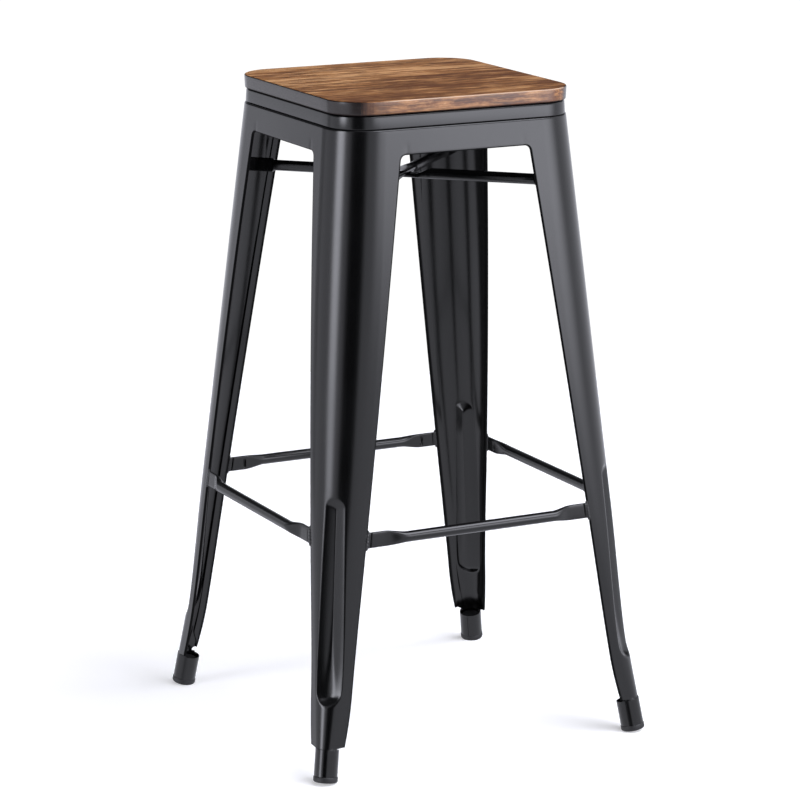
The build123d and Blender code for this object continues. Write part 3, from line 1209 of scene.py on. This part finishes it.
@dataclass(frozen=True)
class SeatScrews:
    """Four pan-head screws with cross recesses under the pan."""

    under: float
    head_height: float
    pitch: float = 0.100
    head_radius: float = 0.0044
    shank_radius: float = 0.0019
    shank: float = 0.0030
    cross_depth: float = 0.0013
    cross_half: tuple[float, float] = (0.0003, 0.0006)
    cross_reach: tuple[float, float] = (0.0014, 0.0024)
    dome_rings: int = 16

    def skin(self, x: float, y: float) -> Patch:
        """Head and shank turned round an upright axis, with a cross pressed into the head.

        The dome's drop is a quarter ellipse of the radius. The cross is the larger of two
        rounded bars, deepest in the middle.

        Args:
            x: Screw axis.
            y: Screw axis.

        Returns:
            The patch.
        """
        shank = [self.head_radius, self.shank_radius, self.shank_radius, 0.0]
        radius = np.concatenate([np.linspace(0.0, self.head_radius, self.dome_rings), shank])
        share = np.clip(radius / self.head_radius, 0.0, 1.0)
        dome = self.under - self.head_height * np.sqrt(np.clip(1 - share**2 * 0.86, 0.0, 1.0))
        dome[self.dome_rings :] = [self.under, self.under, self.under + self.shank, self.under + self.shank]
        angle = np.linspace(0.0, 2 * math.pi, 48, endpoint=False)[None, :]
        across, along = radius[:, None] * np.cos(angle), radius[:, None] * np.sin(angle)
        bar = np.minimum(np.abs(across), np.abs(along))
        inside = 1 - smooth_step(radius[:, None], *self.cross_reach)
        recess = self.cross_depth * (1 - smooth_step(bar, *self.cross_half)) * inside
        height = dome[:, None] + np.where(np.arange(len(radius))[:, None] < self.dome_rings, recess, 0.0)
        return Patch(np.stack([x + across, y + along, height], axis=-1), closed=True, flip=True)

    def build(self, outfit: Outfit) -> bpy.types.Object:
        """Make and dress the four screws as one piece."""
        places = [(x, y) for x in (-self.pitch, self.pitch) for y in (-self.pitch, self.pitch)]
        return outfit.piece("pan_screws", [self.skin(x, y) for x, y in places], "seat_screws")


# ------------------------------------------------------------------ shader building


class Field:
    """A node output that adds Math nodes when numbers or other fields meet it."""

    def __init__(self, recipe: "Recipe", socket: bpy.types.NodeSocket) -> None:
        """Wrap one output socket of a recipe."""
        self.recipe = recipe
        self.socket = socket

    def out(self, name: str | int) -> "Field":
        """Another output of the same node."""
        return Field(self.recipe, self.socket.node.outputs[name])

    def __add__(self, other: "Field | float") -> "Field":
        """Sum with a field or number."""
        return self.recipe.math("ADD", self, other)

    def __sub__(self, other: "Field | float") -> "Field":
        """Difference with a field or number."""
        return self.recipe.math("SUBTRACT", self, other)

    def __rsub__(self, other: float) -> "Field":
        """Number less this field."""
        return self.recipe.math("SUBTRACT", other, self)

    def __mul__(self, other: "Field | float") -> "Field":
        """Product with a field or number."""
        return self.recipe.math("MULTIPLY", self, other)

    def __truediv__(self, other: "Field | float") -> "Field":
        """Quotient with a field or number."""
        return self.recipe.math("DIVIDE", self, other)

    __radd__ = __add__
    __rmul__ = __mul__


class Recipe:
    """Node tree of one material or world, filled from empty."""

    def __init__(self, tree: bpy.types.NodeTree) -> None:
        """Empty the tree."""
        self.tree = tree
        tree.nodes.clear()

    def node(
        self, kind: str, settings: dict[str, Any], inputs: dict[str | int, Any], output: str | int = 0
    ) -> Field:
        """Add a node, set it up, then fill its sockets.

        Args:
            kind: Node type.
            settings: Node properties; "stops" fills a colour ramp with (place, colour) pairs.
            inputs: Value or field for each input socket.
            output: Output to hand back.

        Returns:
            The chosen output.
        """
        made = self.tree.nodes.new(kind)
        for name, value in settings.items():
            if name == "stops":
                self._fill_ramp(made.color_ramp, value)
            else:
                setattr(made, name, value)
        for key, value in inputs.items():
            if isinstance(value, Field):
                self.tree.links.new(value.socket, made.inputs[key])
            else:
                made.inputs[key].default_value = value
        return Field(self, made.outputs[output]) if len(made.outputs) else Field(self, None)

    @staticmethod
    def _fill_ramp(ramp: bpy.types.ColorRamp, stops: Sequence[tuple[float, Colour]]) -> None:
        """Replace a ramp's stops.

        Args:
            ramp: Ramp of a new node.
            stops: (place, linear colour) pairs in rising order.
        """
        while len(ramp.elements) > 1:
            ramp.elements.remove(ramp.elements[-1])
        ramp.elements[0].position, ramp.elements[0].color = stops[0][0], (*stops[0][1], 1.0)
        for place, colour in stops[1:]:
            ramp.elements.new(place).color = (*colour, 1.0)

    def math(self, operation: str, first: Field | float, second: Field | float = 0.0) -> Field:
        """A Math node on one or two values."""
        return self.node("ShaderNodeMath", {"operation": operation}, {0: first, 1: second})

    def rise(self, value: Field, low: float, high: float) -> Field:
        """Smooth step from 0 at low to 1 at high."""
        settings = {"interpolation_type": "SMOOTHSTEP"}
        return self.node("ShaderNodeMapRange", settings, {0: value, 1: low, 2: high})

    def place(self, source: Field, scale: tuple[float, float, float]) -> Field:
        """Object coordinates stretched by a scale per axis."""
        return self.node("ShaderNodeMapping", {}, {"Vector": source, "Scale": scale})

    def noise(self, place: Field, scale: float, detail: float = 2.0, roughness: float = 0.5) -> Field:
        """Noise centred on one half."""
        inputs = {"Vector": place, "Scale": scale, "Detail": detail, "Roughness": roughness}
        return self.node("ShaderNodeTexNoise", {"noise_dimensions": "3D"}, inputs)

    def blend(self, share: Field | float, first: Any, second: Any) -> Field:
        """Mix two colours.

        Args:
            share: 0 gives the first colour, 1 the second.
            first: Field or linear colour.
            second: Field or linear colour.

        Returns:
            The mixed colour.
        """
        colours = [value if isinstance(value, Field) else (*value, 1.0) for value in (first, second)]
        settings = {"data_type": "RGBA", "blend_type": "MIX", "clamp_factor": True}
        return self.node("ShaderNodeMix", settings, {0: share, 6: colours[0], 7: colours[1]}, output=2)

    def bump(self, height: Field, distance: float, strength: float = 1.0) -> Field:
        """Normal bent by a height field; distance is the height's full range in metres."""
        return self.node("ShaderNodeBump", {}, {"Height": height, "Distance": distance, "Strength": strength})


def new_finish(name: str) -> tuple[bpy.types.Material, Recipe, Field]:
    """Start a material.

    Args:
        name: Material name.

    Returns:
        The material, its recipe, and its Object coordinates.
    """
    material = bpy.data.materials.new(name)
    material.use_nodes = True
    recipe = Recipe(material.node_tree)
    return material, recipe, recipe.node("ShaderNodeTexCoord", {}, {}, "Object")


def close_finish(recipe: Recipe, inputs: dict[str, Any]) -> None:
    """End a material with a Principled shader.

    Args:
        recipe: The material's recipe.
        inputs: Sockets of the shader.
    """
    shader = recipe.node("ShaderNodeBsdfPrincipled", {}, inputs)
    recipe.node("ShaderNodeOutputMaterial", {}, {"Surface": shader})


# ------------------------------------------------------------------ finishes


@dataclass(frozen=True)
class PowderCoat:
    """Gloss black baked coating over steel, with faint orange peel and handling haze."""

    black: Colour = (0.0008, 0.0008, 0.0009)
    haze: Colour = (0.0020, 0.0021, 0.0023)
    gloss: float = 0.175
    gloss_spread: float = 0.06
    # share of a folded edge turned dull and unreflecting so it renders as a dark line: painted shade
    fold_shade: float = 0.85

    def material(self) -> bpy.types.Material:
        """Build the coating: cloudy haze, roughness drift, peel, rare dust nibs, and folds turned dull and
        dark as painted shade.
        """
        material, recipe, place = new_finish("powder coat, gloss black")
        cloud = recipe.noise(place, 9.0, 3.0)
        fine = recipe.noise(place, 160.0, 2.0)
        haze = recipe.rise(cloud, 0.42, 0.70)
        colour = recipe.blend(haze * 0.6 + fine * 0.25, self.black, self.haze)
        rough = self.gloss + self.gloss_spread * (haze * 0.5 + fine * 0.5)
        peel = recipe.noise(place, 420.0, 1.0)
        nibs = recipe.rise(recipe.noise(place, 900.0, 0.0), 0.80, 0.86)
        skin = recipe.bump(peel + nibs * 0.8, 0.000006)
        gloss = recipe.node("ShaderNodeBsdfPrincipled", {}, {
            "Base Color": colour, "Roughness": rough, "Normal": skin, "IOR": 1.5,
        })
        # painted shade: a dull black with no reflection, mixed in over the folds
        dull = recipe.node("ShaderNodeBsdfPrincipled", {}, {
            "Base Color": (*self.black, 1.0), "Roughness": 0.6, "Specular IOR Level": 0.0,
        })
        rim = recipe.node("ShaderNodeAttribute", {"attribute_name": "rim"}, {}, "Fac")
        share = self.fold_shade * recipe.rise(rim, 0.3, 0.9)
        coat = recipe.node("ShaderNodeMixShader", {}, {0: share, 1: gloss, 2: dull})
        recipe.node("ShaderNodeOutputMaterial", {}, {"Surface": coat})
        return material


@dataclass(frozen=True)
class StainedWood:
    """Brown stained hardwood with its grain along X and lacquered edges."""

    light: Colour = (0.600, 0.325, 0.140)
    middle: Colour = (0.350, 0.158, 0.053)
    dark: Colour = (0.130, 0.045, 0.014)
    streak: Colour = (0.055, 0.020, 0.009)
    # colour of the stained end grain, also used for the painted shade line along the board's underside
    end_grain_and_gap_shade: Colour = (0.010, 0.0075, 0.0075)
    pith_height: float = 0.687
    # pale colour painted on the eased upper edge as a highlight
    eased: Colour = (0.750, 0.560, 0.400)
    arc_start: float = 0.085
    arc_fade: float = 0.022
    # heights over which the painted shade line along the underside fades out
    gap_shade_line: tuple[float, float] = (0.7468, 0.7484)

    def material(self) -> bpy.types.Material:
        """Build the wood from rings round a low pith, streaks, fibres and pores.

        The pith runs along X below the board. Ring brightness follows the distance from it,
        bent by slow noise, so the top, the edges and the corners share one block of wood. The
        end grain and the front left corner are stained nearly black; the underside's rim is painted
        nearly black as shade in the gap over the pan, and the eased upper edge gets a pale painted highlight.
        """
        material, recipe, place = new_finish("stained wood, satin lacquer")
        slow = recipe.noise(recipe.place(place, (5.0, 16.0, 16.0)), 1.0, 2.0)
        drift = recipe.noise(recipe.place(place, (2.2, 5.0, 5.0)), 1.0, 1.0)
        axes = recipe.node("ShaderNodeSeparateXYZ", {}, {0: place})
        across = axes.out("Y") + 0.055 * (drift - 0.5) + 0.020 * (slow - 0.5)
        above = axes.out("Z") - self.pith_height
        ring = recipe.math("SQRT", across * across + above * above)
        figure = recipe.math("FRACT", ring * 105.0 + slow * 2.0)
        late = recipe.rise(figure, 0.35, 1.0) * (1.0 - recipe.rise(figure, 0.93, 1.0))
        patch = recipe.noise(recipe.place(place, (7.0, 26.0, 26.0)), 1.0, 3.0, 0.6)
        mottle = recipe.noise(recipe.place(place, (34.0, 95.0, 95.0)), 1.0, 4.0, 0.75)
        fibre = recipe.noise(recipe.place(place, (40.0, 700.0, 700.0)), 1.0, 2.0, 0.6)
        band = recipe.noise(recipe.place(place, (8.0, 120.0, 120.0)), 1.0, 3.0, 0.65)
        front = 1.0 - recipe.rise(axes.out("Y") - 0.35 * axes, -0.065, 0.060)
        tone = 0.26 + (patch - 0.5) * 1.7 + (mottle - 0.5) * 1.5 + (fibre - 0.5) * 0.8 + (band - 0.5) * 1.6
        tone = tone + late * 0.20 + front * 0.36
        colour = recipe.node("ShaderNodeValToRGB", {"stops": [
            (0.05, self.light), (0.42, self.middle), (0.85, self.dark),
        ]}, {0: tone})
        run = recipe.rise(recipe.noise(recipe.place(place, (6.0, 85.0, 85.0)), 1.0, 3.0, 0.6), 0.55, 0.68)
        dash = recipe.rise(recipe.noise(recipe.place(place, (34.0, 430.0, 430.0)), 1.0, 2.0, 0.6), 0.50, 0.62)
        cluster = recipe.rise(recipe.noise(recipe.place(place, (7.0, 30.0, 30.0)), 1.0, 2.0), 0.38, 0.60)
        colour = recipe.blend(run * 0.62, colour, self.streak)
        colour = recipe.blend(dash * (0.15 + 0.60 * cluster), colour, self.streak)
        normal = recipe.node("ShaderNodeTexCoord", {}, {}, "Normal")
        facing = recipe.node("ShaderNodeSeparateXYZ", {}, {0: normal})
        upright = 1.0 - recipe.rise(facing.out("Z"), 0.35, 0.85)
        cut = recipe.noise(recipe.place(place, (520.0, 520.0, 22.0)), 1.0, 2.0, 0.6)
        level = recipe.math("SQRT", facing * facing + facing.out("Y") * facing.out("Y") + 1e-6)
        ends = facing / level
        ragged = (cut - 0.5) * 0.30
        near = 1.0 - recipe.rise(axes * 1.0 + ragged * 0.05, -self.arc_start - self.arc_fade, -self.arc_start)
        left, right = ragged - ends, ragged + ends
        stained = recipe.math("MAXIMUM", recipe.rise(left, 0.04, 0.22), near * 0.80)
        colour = recipe.blend(stained * upright * 0.84, colour, self.streak)
        # painted highlight: the eased upper edge is blended towards a pale colour, away from the dark corner
        worn = recipe.rise(facing.out("Z"), 0.20, 0.45) * (1.0 - recipe.rise(facing.out("Z"), 0.72, 0.94))
        colour = recipe.blend(worn * 0.55 * (1.0 - near), colour, self.eased)
        over = 1.0 - recipe.rise(facing.out("Z"), 0.80, 0.97)
        end = recipe.math("MAXIMUM", recipe.rise(left, 0.24, 0.50), recipe.rise(right, 0.50, 0.74)) * over
        # painted shade: the lowest 1.6 mm of the board is darkened like the end grain, standing in for the
        # shadow in the gap over the pan
        gap_shade_line = 1.0 - recipe.rise(axes.out("Z"), *self.gap_shade_line)
        end = recipe.math("MAXIMUM", end, gap_shade_line)
        colour = recipe.blend(end * 0.97, colour, self.end_grain_and_gap_shade)
        height = fibre * 0.5 + band * 0.3 - dash * 0.9
        close_finish(recipe, {
            "Base Color": colour, "Roughness": 0.50 + 0.14 * (band - 0.5) - 0.12 * upright,
            "Coat Weight": upright * (1.0 - gap_shade_line), "Coat Roughness": 0.26,
            "Normal": recipe.bump(height, 0.00006, 0.7), "Specular IOR Level": 0.03,
        })
        return material


@dataclass(frozen=True)
class PlugPlastic:
    """Black moulded plastic with a fine spark-eroded grain and a scuffed floor side."""

    black: Colour = (0.006, 0.006, 0.0065)
    scuff: Colour = (0.045, 0.044, 0.042)

    def material(self) -> bpy.types.Material:
        """Build the plastic: mould grain everywhere, scuffs near the floor."""
        material, recipe, place = new_finish("foot plug plastic")
        grain = recipe.noise(place, 2600.0, 2.0)
        broad = recipe.noise(place, 140.0, 3.0)
        height = recipe.node("ShaderNodeSeparateXYZ", {}, {0: place}).out("Z")
        low = 1.0 - recipe.rise(height, 0.0002, 0.0022)
        scuffs = low * recipe.rise(broad, 0.45, 0.65) * 0.8
        colour = recipe.blend(scuffs + grain * 0.06, self.black, self.scuff)
        close_finish(recipe, {
            "Base Color": colour, "Roughness": 0.46 + 0.16 * grain + 0.15 * scuffs,
            "Normal": recipe.bump(grain, 0.00003, 0.6), "IOR": 1.48,
        })
        return material


@dataclass(frozen=True)
class ZincScrew:
    """Bright zinc plate with a faint bluish cast and dull spots."""

    bright: Colour = (0.58, 0.60, 0.63)
    dull: Colour = (0.33, 0.34, 0.35)

    def material(self) -> bpy.types.Material:
        """Build the plating: dull patches and a fine tumbled grain."""
        material, recipe, place = new_finish("zinc plate")
        patch = recipe.rise(recipe.noise(place, 480.0, 3.0), 0.42, 0.66)
        grain = recipe.noise(place, 3800.0, 1.0)
        close_finish(recipe, {
            "Base Color": recipe.blend(patch, self.bright, self.dull), "Metallic": 1.0,
            "Roughness": 0.26 + 0.16 * patch + 0.06 * grain, "Normal": recipe.bump(grain, 0.00001, 0.5),
        })
        return material


# ------------------------------------------------------------------ studio


@dataclass(frozen=True)
class SkyPanel:
    """A bright or dark stretch of the studio walls, in degrees round and above the stool."""

    azimuth: float
    half_width: float
    softness: float
    low: float
    high: float
    radiance: float
    fade: float = 5.0

    def share(self, recipe: Recipe, ground: tuple[Field, Field], elevation: Field) -> Field:
        """How much of the panel a direction sees.

        The angle from the panel's middle is the arc cosine of the dot product of the two level
        directions, faded over the softness. The elevation is faded over its own angle.

        Args:
            recipe: World recipe.
            ground: Level direction's X and Y, of length one.
            elevation: Elevation in radians.

        Returns:
            Share from 0 to 1.
        """
        middle = math.radians(self.azimuth)
        cosine = ground[0] * math.cos(middle) + ground[1] * math.sin(middle)
        apart = recipe.math("ARCCOSINE", recipe.math("MINIMUM", cosine, 0.99999))
        near, far = (math.radians(self.half_width + sign * self.softness) for sign in (-1, 1))
        fade = math.radians(self.fade)
        low, high = math.radians(self.low), math.radians(self.high)
        upper = recipe.rise(elevation, low - fade, low + fade)
        lower = 1.0 - recipe.rise(elevation, high - fade, high + fade)
        return (1.0 - recipe.rise(apart, near, far)) * upper * lower


@dataclass(frozen=True)
class Studio:
    """White room with a strip light, a dark screen behind the camera and a softbox."""

    camera_place: tuple[float, float, float] = (-1.7248, -3.3821, 1.2920)
    camera_azimuth: float = -26.98
    camera_elevation: float = 13.506
    lens: float = 148.55
    side_shift: float = -0.00144
    room: float = 1.0
    room_tint: Colour = (0.965, 0.975, 1.07)
    backdrop: float = 1.06
    panels: tuple[SkyPanel, ...] = (
        SkyPanel(185.0, 9.0, 6.0, -1.5, 30.0, 7.8, 7.5),
        SkyPanel(230.0, 19.0, 5.0, -20.0, 60.0, -0.97, 4.0),
        SkyPanel(110.0, 95.0, 8.0, 10.0, 97.0, -0.90),
        SkyPanel(315.0, 38.0, 10.0, 45.0, 72.0, 5.5),
    )
    sheet_distance: float = 1.6
    softbox_azimuth: float = 300.0
    softbox_half: float = 1.2
    softbox_top: float = 1.25
    softbox_base: float = 1.05
    softbox_gain: float = 3.9
    softbox_shift: float = 0.38
    softbox_lift: float = 0.95
    softbox_rise: tuple[float, float] = (-0.05, 0.72)
    softbox_fall: tuple[float, float] = (1.0, 1.24)
    softbox_far: tuple[float, float] = (0.15, 1.15)
    softbox_near: tuple[float, float] = (-1.15, -0.5)
    wall_azimuth: float = 117.0
    wall_span: tuple[float, float] = (-0.75, 0.05)
    wall_top: float = 1.1
    wall_base: float = 0.55
    wall_gain: float = 0.50
    wall_step: tuple[float, float] = (-0.240, -0.185)
    floor_radius: float = 1.8
    floor_white: Colour = (0.86, 0.86, 0.86)
    floor_glow: float = 0.36

    def world(self) -> None:
        """Light the room: an even white plus the bright panels, less the dark ones."""
        world = bpy.data.worlds.new("studio")
        world.use_nodes = True
        bpy.context.scene.world = world
        recipe = Recipe(world.node_tree)
        direction = recipe.node("ShaderNodeTexCoord", {}, {}, "Generated")
        axes = recipe.node("ShaderNodeSeparateXYZ", {}, {0: direction})
        x, y, z = axes, axes.out("Y"), axes.out("Z")
        flat = recipe.math("SQRT", x * x + y * y + 1e-9)
        ground = (x / flat, y / flat)
        elevation = recipe.math("ARCTAN2", z, flat)
        light = elevation * 0.0 + self.room
        for panel in self.panels:
            light = light + panel.radiance * panel.share(recipe, ground, elevation)
        seen = recipe.node("ShaderNodeLightPath", {}, {}, "Is Camera Ray")
        strength = light * (1.0 - seen) + self.backdrop * seen
        colour = recipe.blend(seen, self.room_tint, (1.0, 1.0, 1.0))
        glow = recipe.node("ShaderNodeBackground", {}, {"Color": colour, "Strength": strength})
        recipe.node("ShaderNodeOutputWorld", {}, {"Surface": glow})

    def glowing_sheet(
        self, name: str, azimuth: float, turn: float, along: np.ndarray, high: np.ndarray
    ) -> tuple[Recipe, Field, Field]:
        """Stand an upright glowing sheet square to its azimuth, unseen by the camera.

        Args:
            name: Object name.
            azimuth: Degrees from +X at which the sheet stands.
            turn: 1 where places along the sheet run anticlockwise from above, -1 otherwise.
            along: Places along the sheet, from its middle.
            high: Heights.

        Returns:
            The recipe of its glow, the place along the sheet, and the height.
        """
        angle = math.radians(azimuth)
        out = np.array([math.cos(angle), math.sin(angle), 0.0])
        aside = turn * np.array([-math.sin(angle), math.cos(angle), 0.0])
        along, high = np.meshgrid(along, high)
        points = self.sheet_distance * out + along[..., None] * aside + high[..., None] * UP
        sheet = mesh_object(name, [Patch(points)])
        material, recipe, place = new_finish(name)
        axes = recipe.node("ShaderNodeSeparateXYZ", {}, {0: place})
        sheet.data.materials.append(material)
        sheet.visible_camera = False
        return recipe, axes * float(aside[0]) + axes.out("Y") * float(aside[1]), axes.out("Z")

    def close_glow(self, recipe: Recipe, strength: Field) -> None:
        """End a sheet's recipe with the glow of a strength, in the room's tint."""
        inputs = {"Strength": strength, "Color": (*self.room_tint, 1.0)}
        glow = recipe.node("ShaderNodeEmission", {}, inputs)
        recipe.node("ShaderNodeOutputMaterial", {}, {"Surface": glow})

    def softbox(self) -> None:
        """Hang the softbox.

        Along the sheet the glow rises in the middle and fades at both ends. Up the sheet it
        rises with height, and on the side towards the camera it starts higher up.
        """
        along = np.linspace(-self.softbox_half, self.softbox_half, 9)
        high = np.linspace(0.0, self.softbox_top, 6)
        recipe, aside, height = self.glowing_sheet("studio_softbox", self.softbox_azimuth, 1.0, along, high)
        shift = recipe.math("MAXIMUM", recipe.math("MINIMUM", aside, 0.0), -self.softbox_shift)
        lifted = height + self.softbox_lift * shift
        rise = recipe.rise(lifted, *self.softbox_rise) * (1.0 - recipe.rise(height, *self.softbox_fall))
        ends = (1.0 - recipe.rise(aside, *self.softbox_far)) * recipe.rise(aside, *self.softbox_near)
        self.close_glow(recipe, self.softbox_base + self.softbox_gain * rise * ends)

    def side_wall(self) -> None:
        """Stand a glowing wall beyond the left side, dimmer towards the front."""
        along, high = np.linspace(*self.wall_span, 6), np.linspace(0.0, self.wall_top, 5)
        recipe, aside, _ = self.glowing_sheet("studio_wall", self.wall_azimuth, -1.0, along, high)
        self.close_glow(recipe, self.wall_base + self.wall_gain * recipe.rise(aside, *self.wall_step))

    def floor(self) -> None:
        """Lay a round white floor, ring by ring, that the gloss does not mirror."""
        radius = np.array([0.0, 0.3, 0.6, 1.0, 1.4, self.floor_radius])[:, None]
        angle = np.linspace(0.0, 2 * math.pi, 64, endpoint=False)[None, :]
        level = np.zeros((len(radius), 64))
        flat = np.stack([radius * np.cos(angle), radius * np.sin(angle), level], axis=-1)
        floor = mesh_object("studio_floor", [Patch(flat, closed=True)])
        material, recipe, place = new_finish("studio floor")
        tone = recipe.noise(place, 3.0)
        low = tuple(0.98 * value for value in self.floor_white)
        close_finish(recipe, {
            "Base Color": recipe.blend(tone, low, self.floor_white), "Roughness": 0.9,
            "Emission Color": (1.0, 1.0, 1.0, 1.0), "Emission Strength": self.floor_glow,
        })
        floor.data.materials.append(material)
        floor.visible_glossy = False

    def camera(self) -> None:
        """Set up the camera on its azimuth and elevation, with the default 36 mm sensor."""
        data = bpy.data.cameras.new("camera")
        data.lens = self.lens
        data.shift_x = self.side_shift
        azimuth, elevation = math.radians(self.camera_azimuth), math.radians(self.camera_elevation)
        level = math.cos(elevation)
        back = Vector((math.sin(azimuth) * level, -math.cos(azimuth) * level, math.sin(elevation)))
        camera = bpy.data.objects.new("camera", data)
        camera.location = self.camera_place
        camera.rotation_euler = (-back).to_track_quat("-Z", "Y").to_euler()
        bpy.context.scene.collection.objects.link(camera)
        bpy.context.scene.camera = camera

    def build(self) -> None:
        """Set up the light, the floor, the camera and plain colour handling."""
        bpy.context.scene.view_settings.view_transform = "Standard"
        self.world()
        self.softbox()
        self.side_wall()
        self.floor()
        self.camera()


# ------------------------------------------------------------------ assembly


@dataclass(frozen=True)
class BarStool:
    """The whole stool, with the heights that its parts share read from the frame."""

    frame_shape: FrameShape
    foot: FootAxis
    stretcher_height: float
    brace_height: float
    pan_low: float
    pan_high: float
    pan_half: float
    board_half: float
    board_high: float
    head_height: float
    corner_radius: float = 0.045
    pan_sheet: float = 0.0012

    @classmethod
    def from_frame(cls) -> "BarStool":
        """Read the driving heights and half widths from the CAD nodes."""
        apron_low, apron_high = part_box("apron_back")
        pan_low, pan_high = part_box("seat_pan")
        _, board_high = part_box("seat_board")
        tube_low, tube_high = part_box("stretcher_back")
        braces = [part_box(f"brace_{level.value[0]}") for level in BraceLevel]
        brace_low = min(low.z for low, _ in braces)
        brace_high = max(high.z for _, high in braces)
        screw_low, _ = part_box("seat_screws")
        return cls(
            frame_shape=FrameShape(top=apron_high.z, apron_bottom=apron_low.z, seam=apron_high.x),
            foot=FootAxis(),
            stretcher_height=0.5 * (tube_low.z + tube_high.z),
            brace_height=0.5 * (brace_low + brace_high),
            pan_low=pan_low.z,
            pan_high=pan_high.z,
            pan_half=pan_high.x,
            board_half=board_high.x,
            board_high=board_high.z,
            head_height=pan_high.z - cls.pan_sheet - screw_low.z,
        )

    def build(self) -> list[bpy.types.Object]:
        """Make every piece, from the feet up.

        Returns:
            The pieces in the order made.
        """
        shape = self.frame_shape
        coat = PowderCoat().material()
        sheet = Outfit(Slot.POWDER_COAT, coat, shape.sheet, SHEET_CREASE)
        tube = Outfit(Slot.POWDER_COAT, coat, crease=TUBE_CREASE)
        weld = Outfit(Slot.POWDER_COAT, coat)
        tray = Outfit(Slot.POWDER_COAT, coat, self.pan_sheet, SHEET_CREASE)
        plastic = Outfit(Slot.PLUG_PLASTIC, PlugPlastic().material(), crease=MOULD_CREASE)
        wood = Outfit(Slot.STAINED_WOOD, StainedWood().material(), crease=BOARD_CREASE)
        zinc = Outfit(Slot.ZINC_SCREW, ZincScrew().material(), crease=MOULD_CREASE)
        plug, leg = FootPlug(self.foot), PressedLeg(shape, self.foot, Flute())
        stretcher, brace = Stretcher(shape, self.stretcher_height), BraceTube(shape, self.brace_height)
        made = [plug.build(corner, plastic) for corner in Corner]
        made += [leg.build(corner, sheet) for corner in Corner]
        for side in Side:
            made.append(ApronRail(shape).build(side, sheet))
            made += stretcher.build(side, tube, weld)
        made += [brace.build(level, tube) for level in BraceLevel]
        pan_plan = RoundedSquare(self.pan_half, self.corner_radius)
        board_plan = RoundedSquare(self.board_half, self.corner_radius)
        made.append(SeatPan(pan_plan, self.pan_low, self.pan_high).build(tray))
        made.append(SeatBoard(board_plan, self.pan_high, self.board_high).build(wood))
        made.append(SeatScrews(self.pan_high - self.pan_sheet, self.head_height).build(zinc))
        return made


def main() -> None:
    logging.basicConfig(level=logging.INFO, format="%(name)s: %(message)s")
    for piece in BarStool.from_frame().build():
        LOG.info("%s: %d faces", piece.name, len(piece.data.polygons))
    Studio().build()


if __name__ == "__main__":
    main()
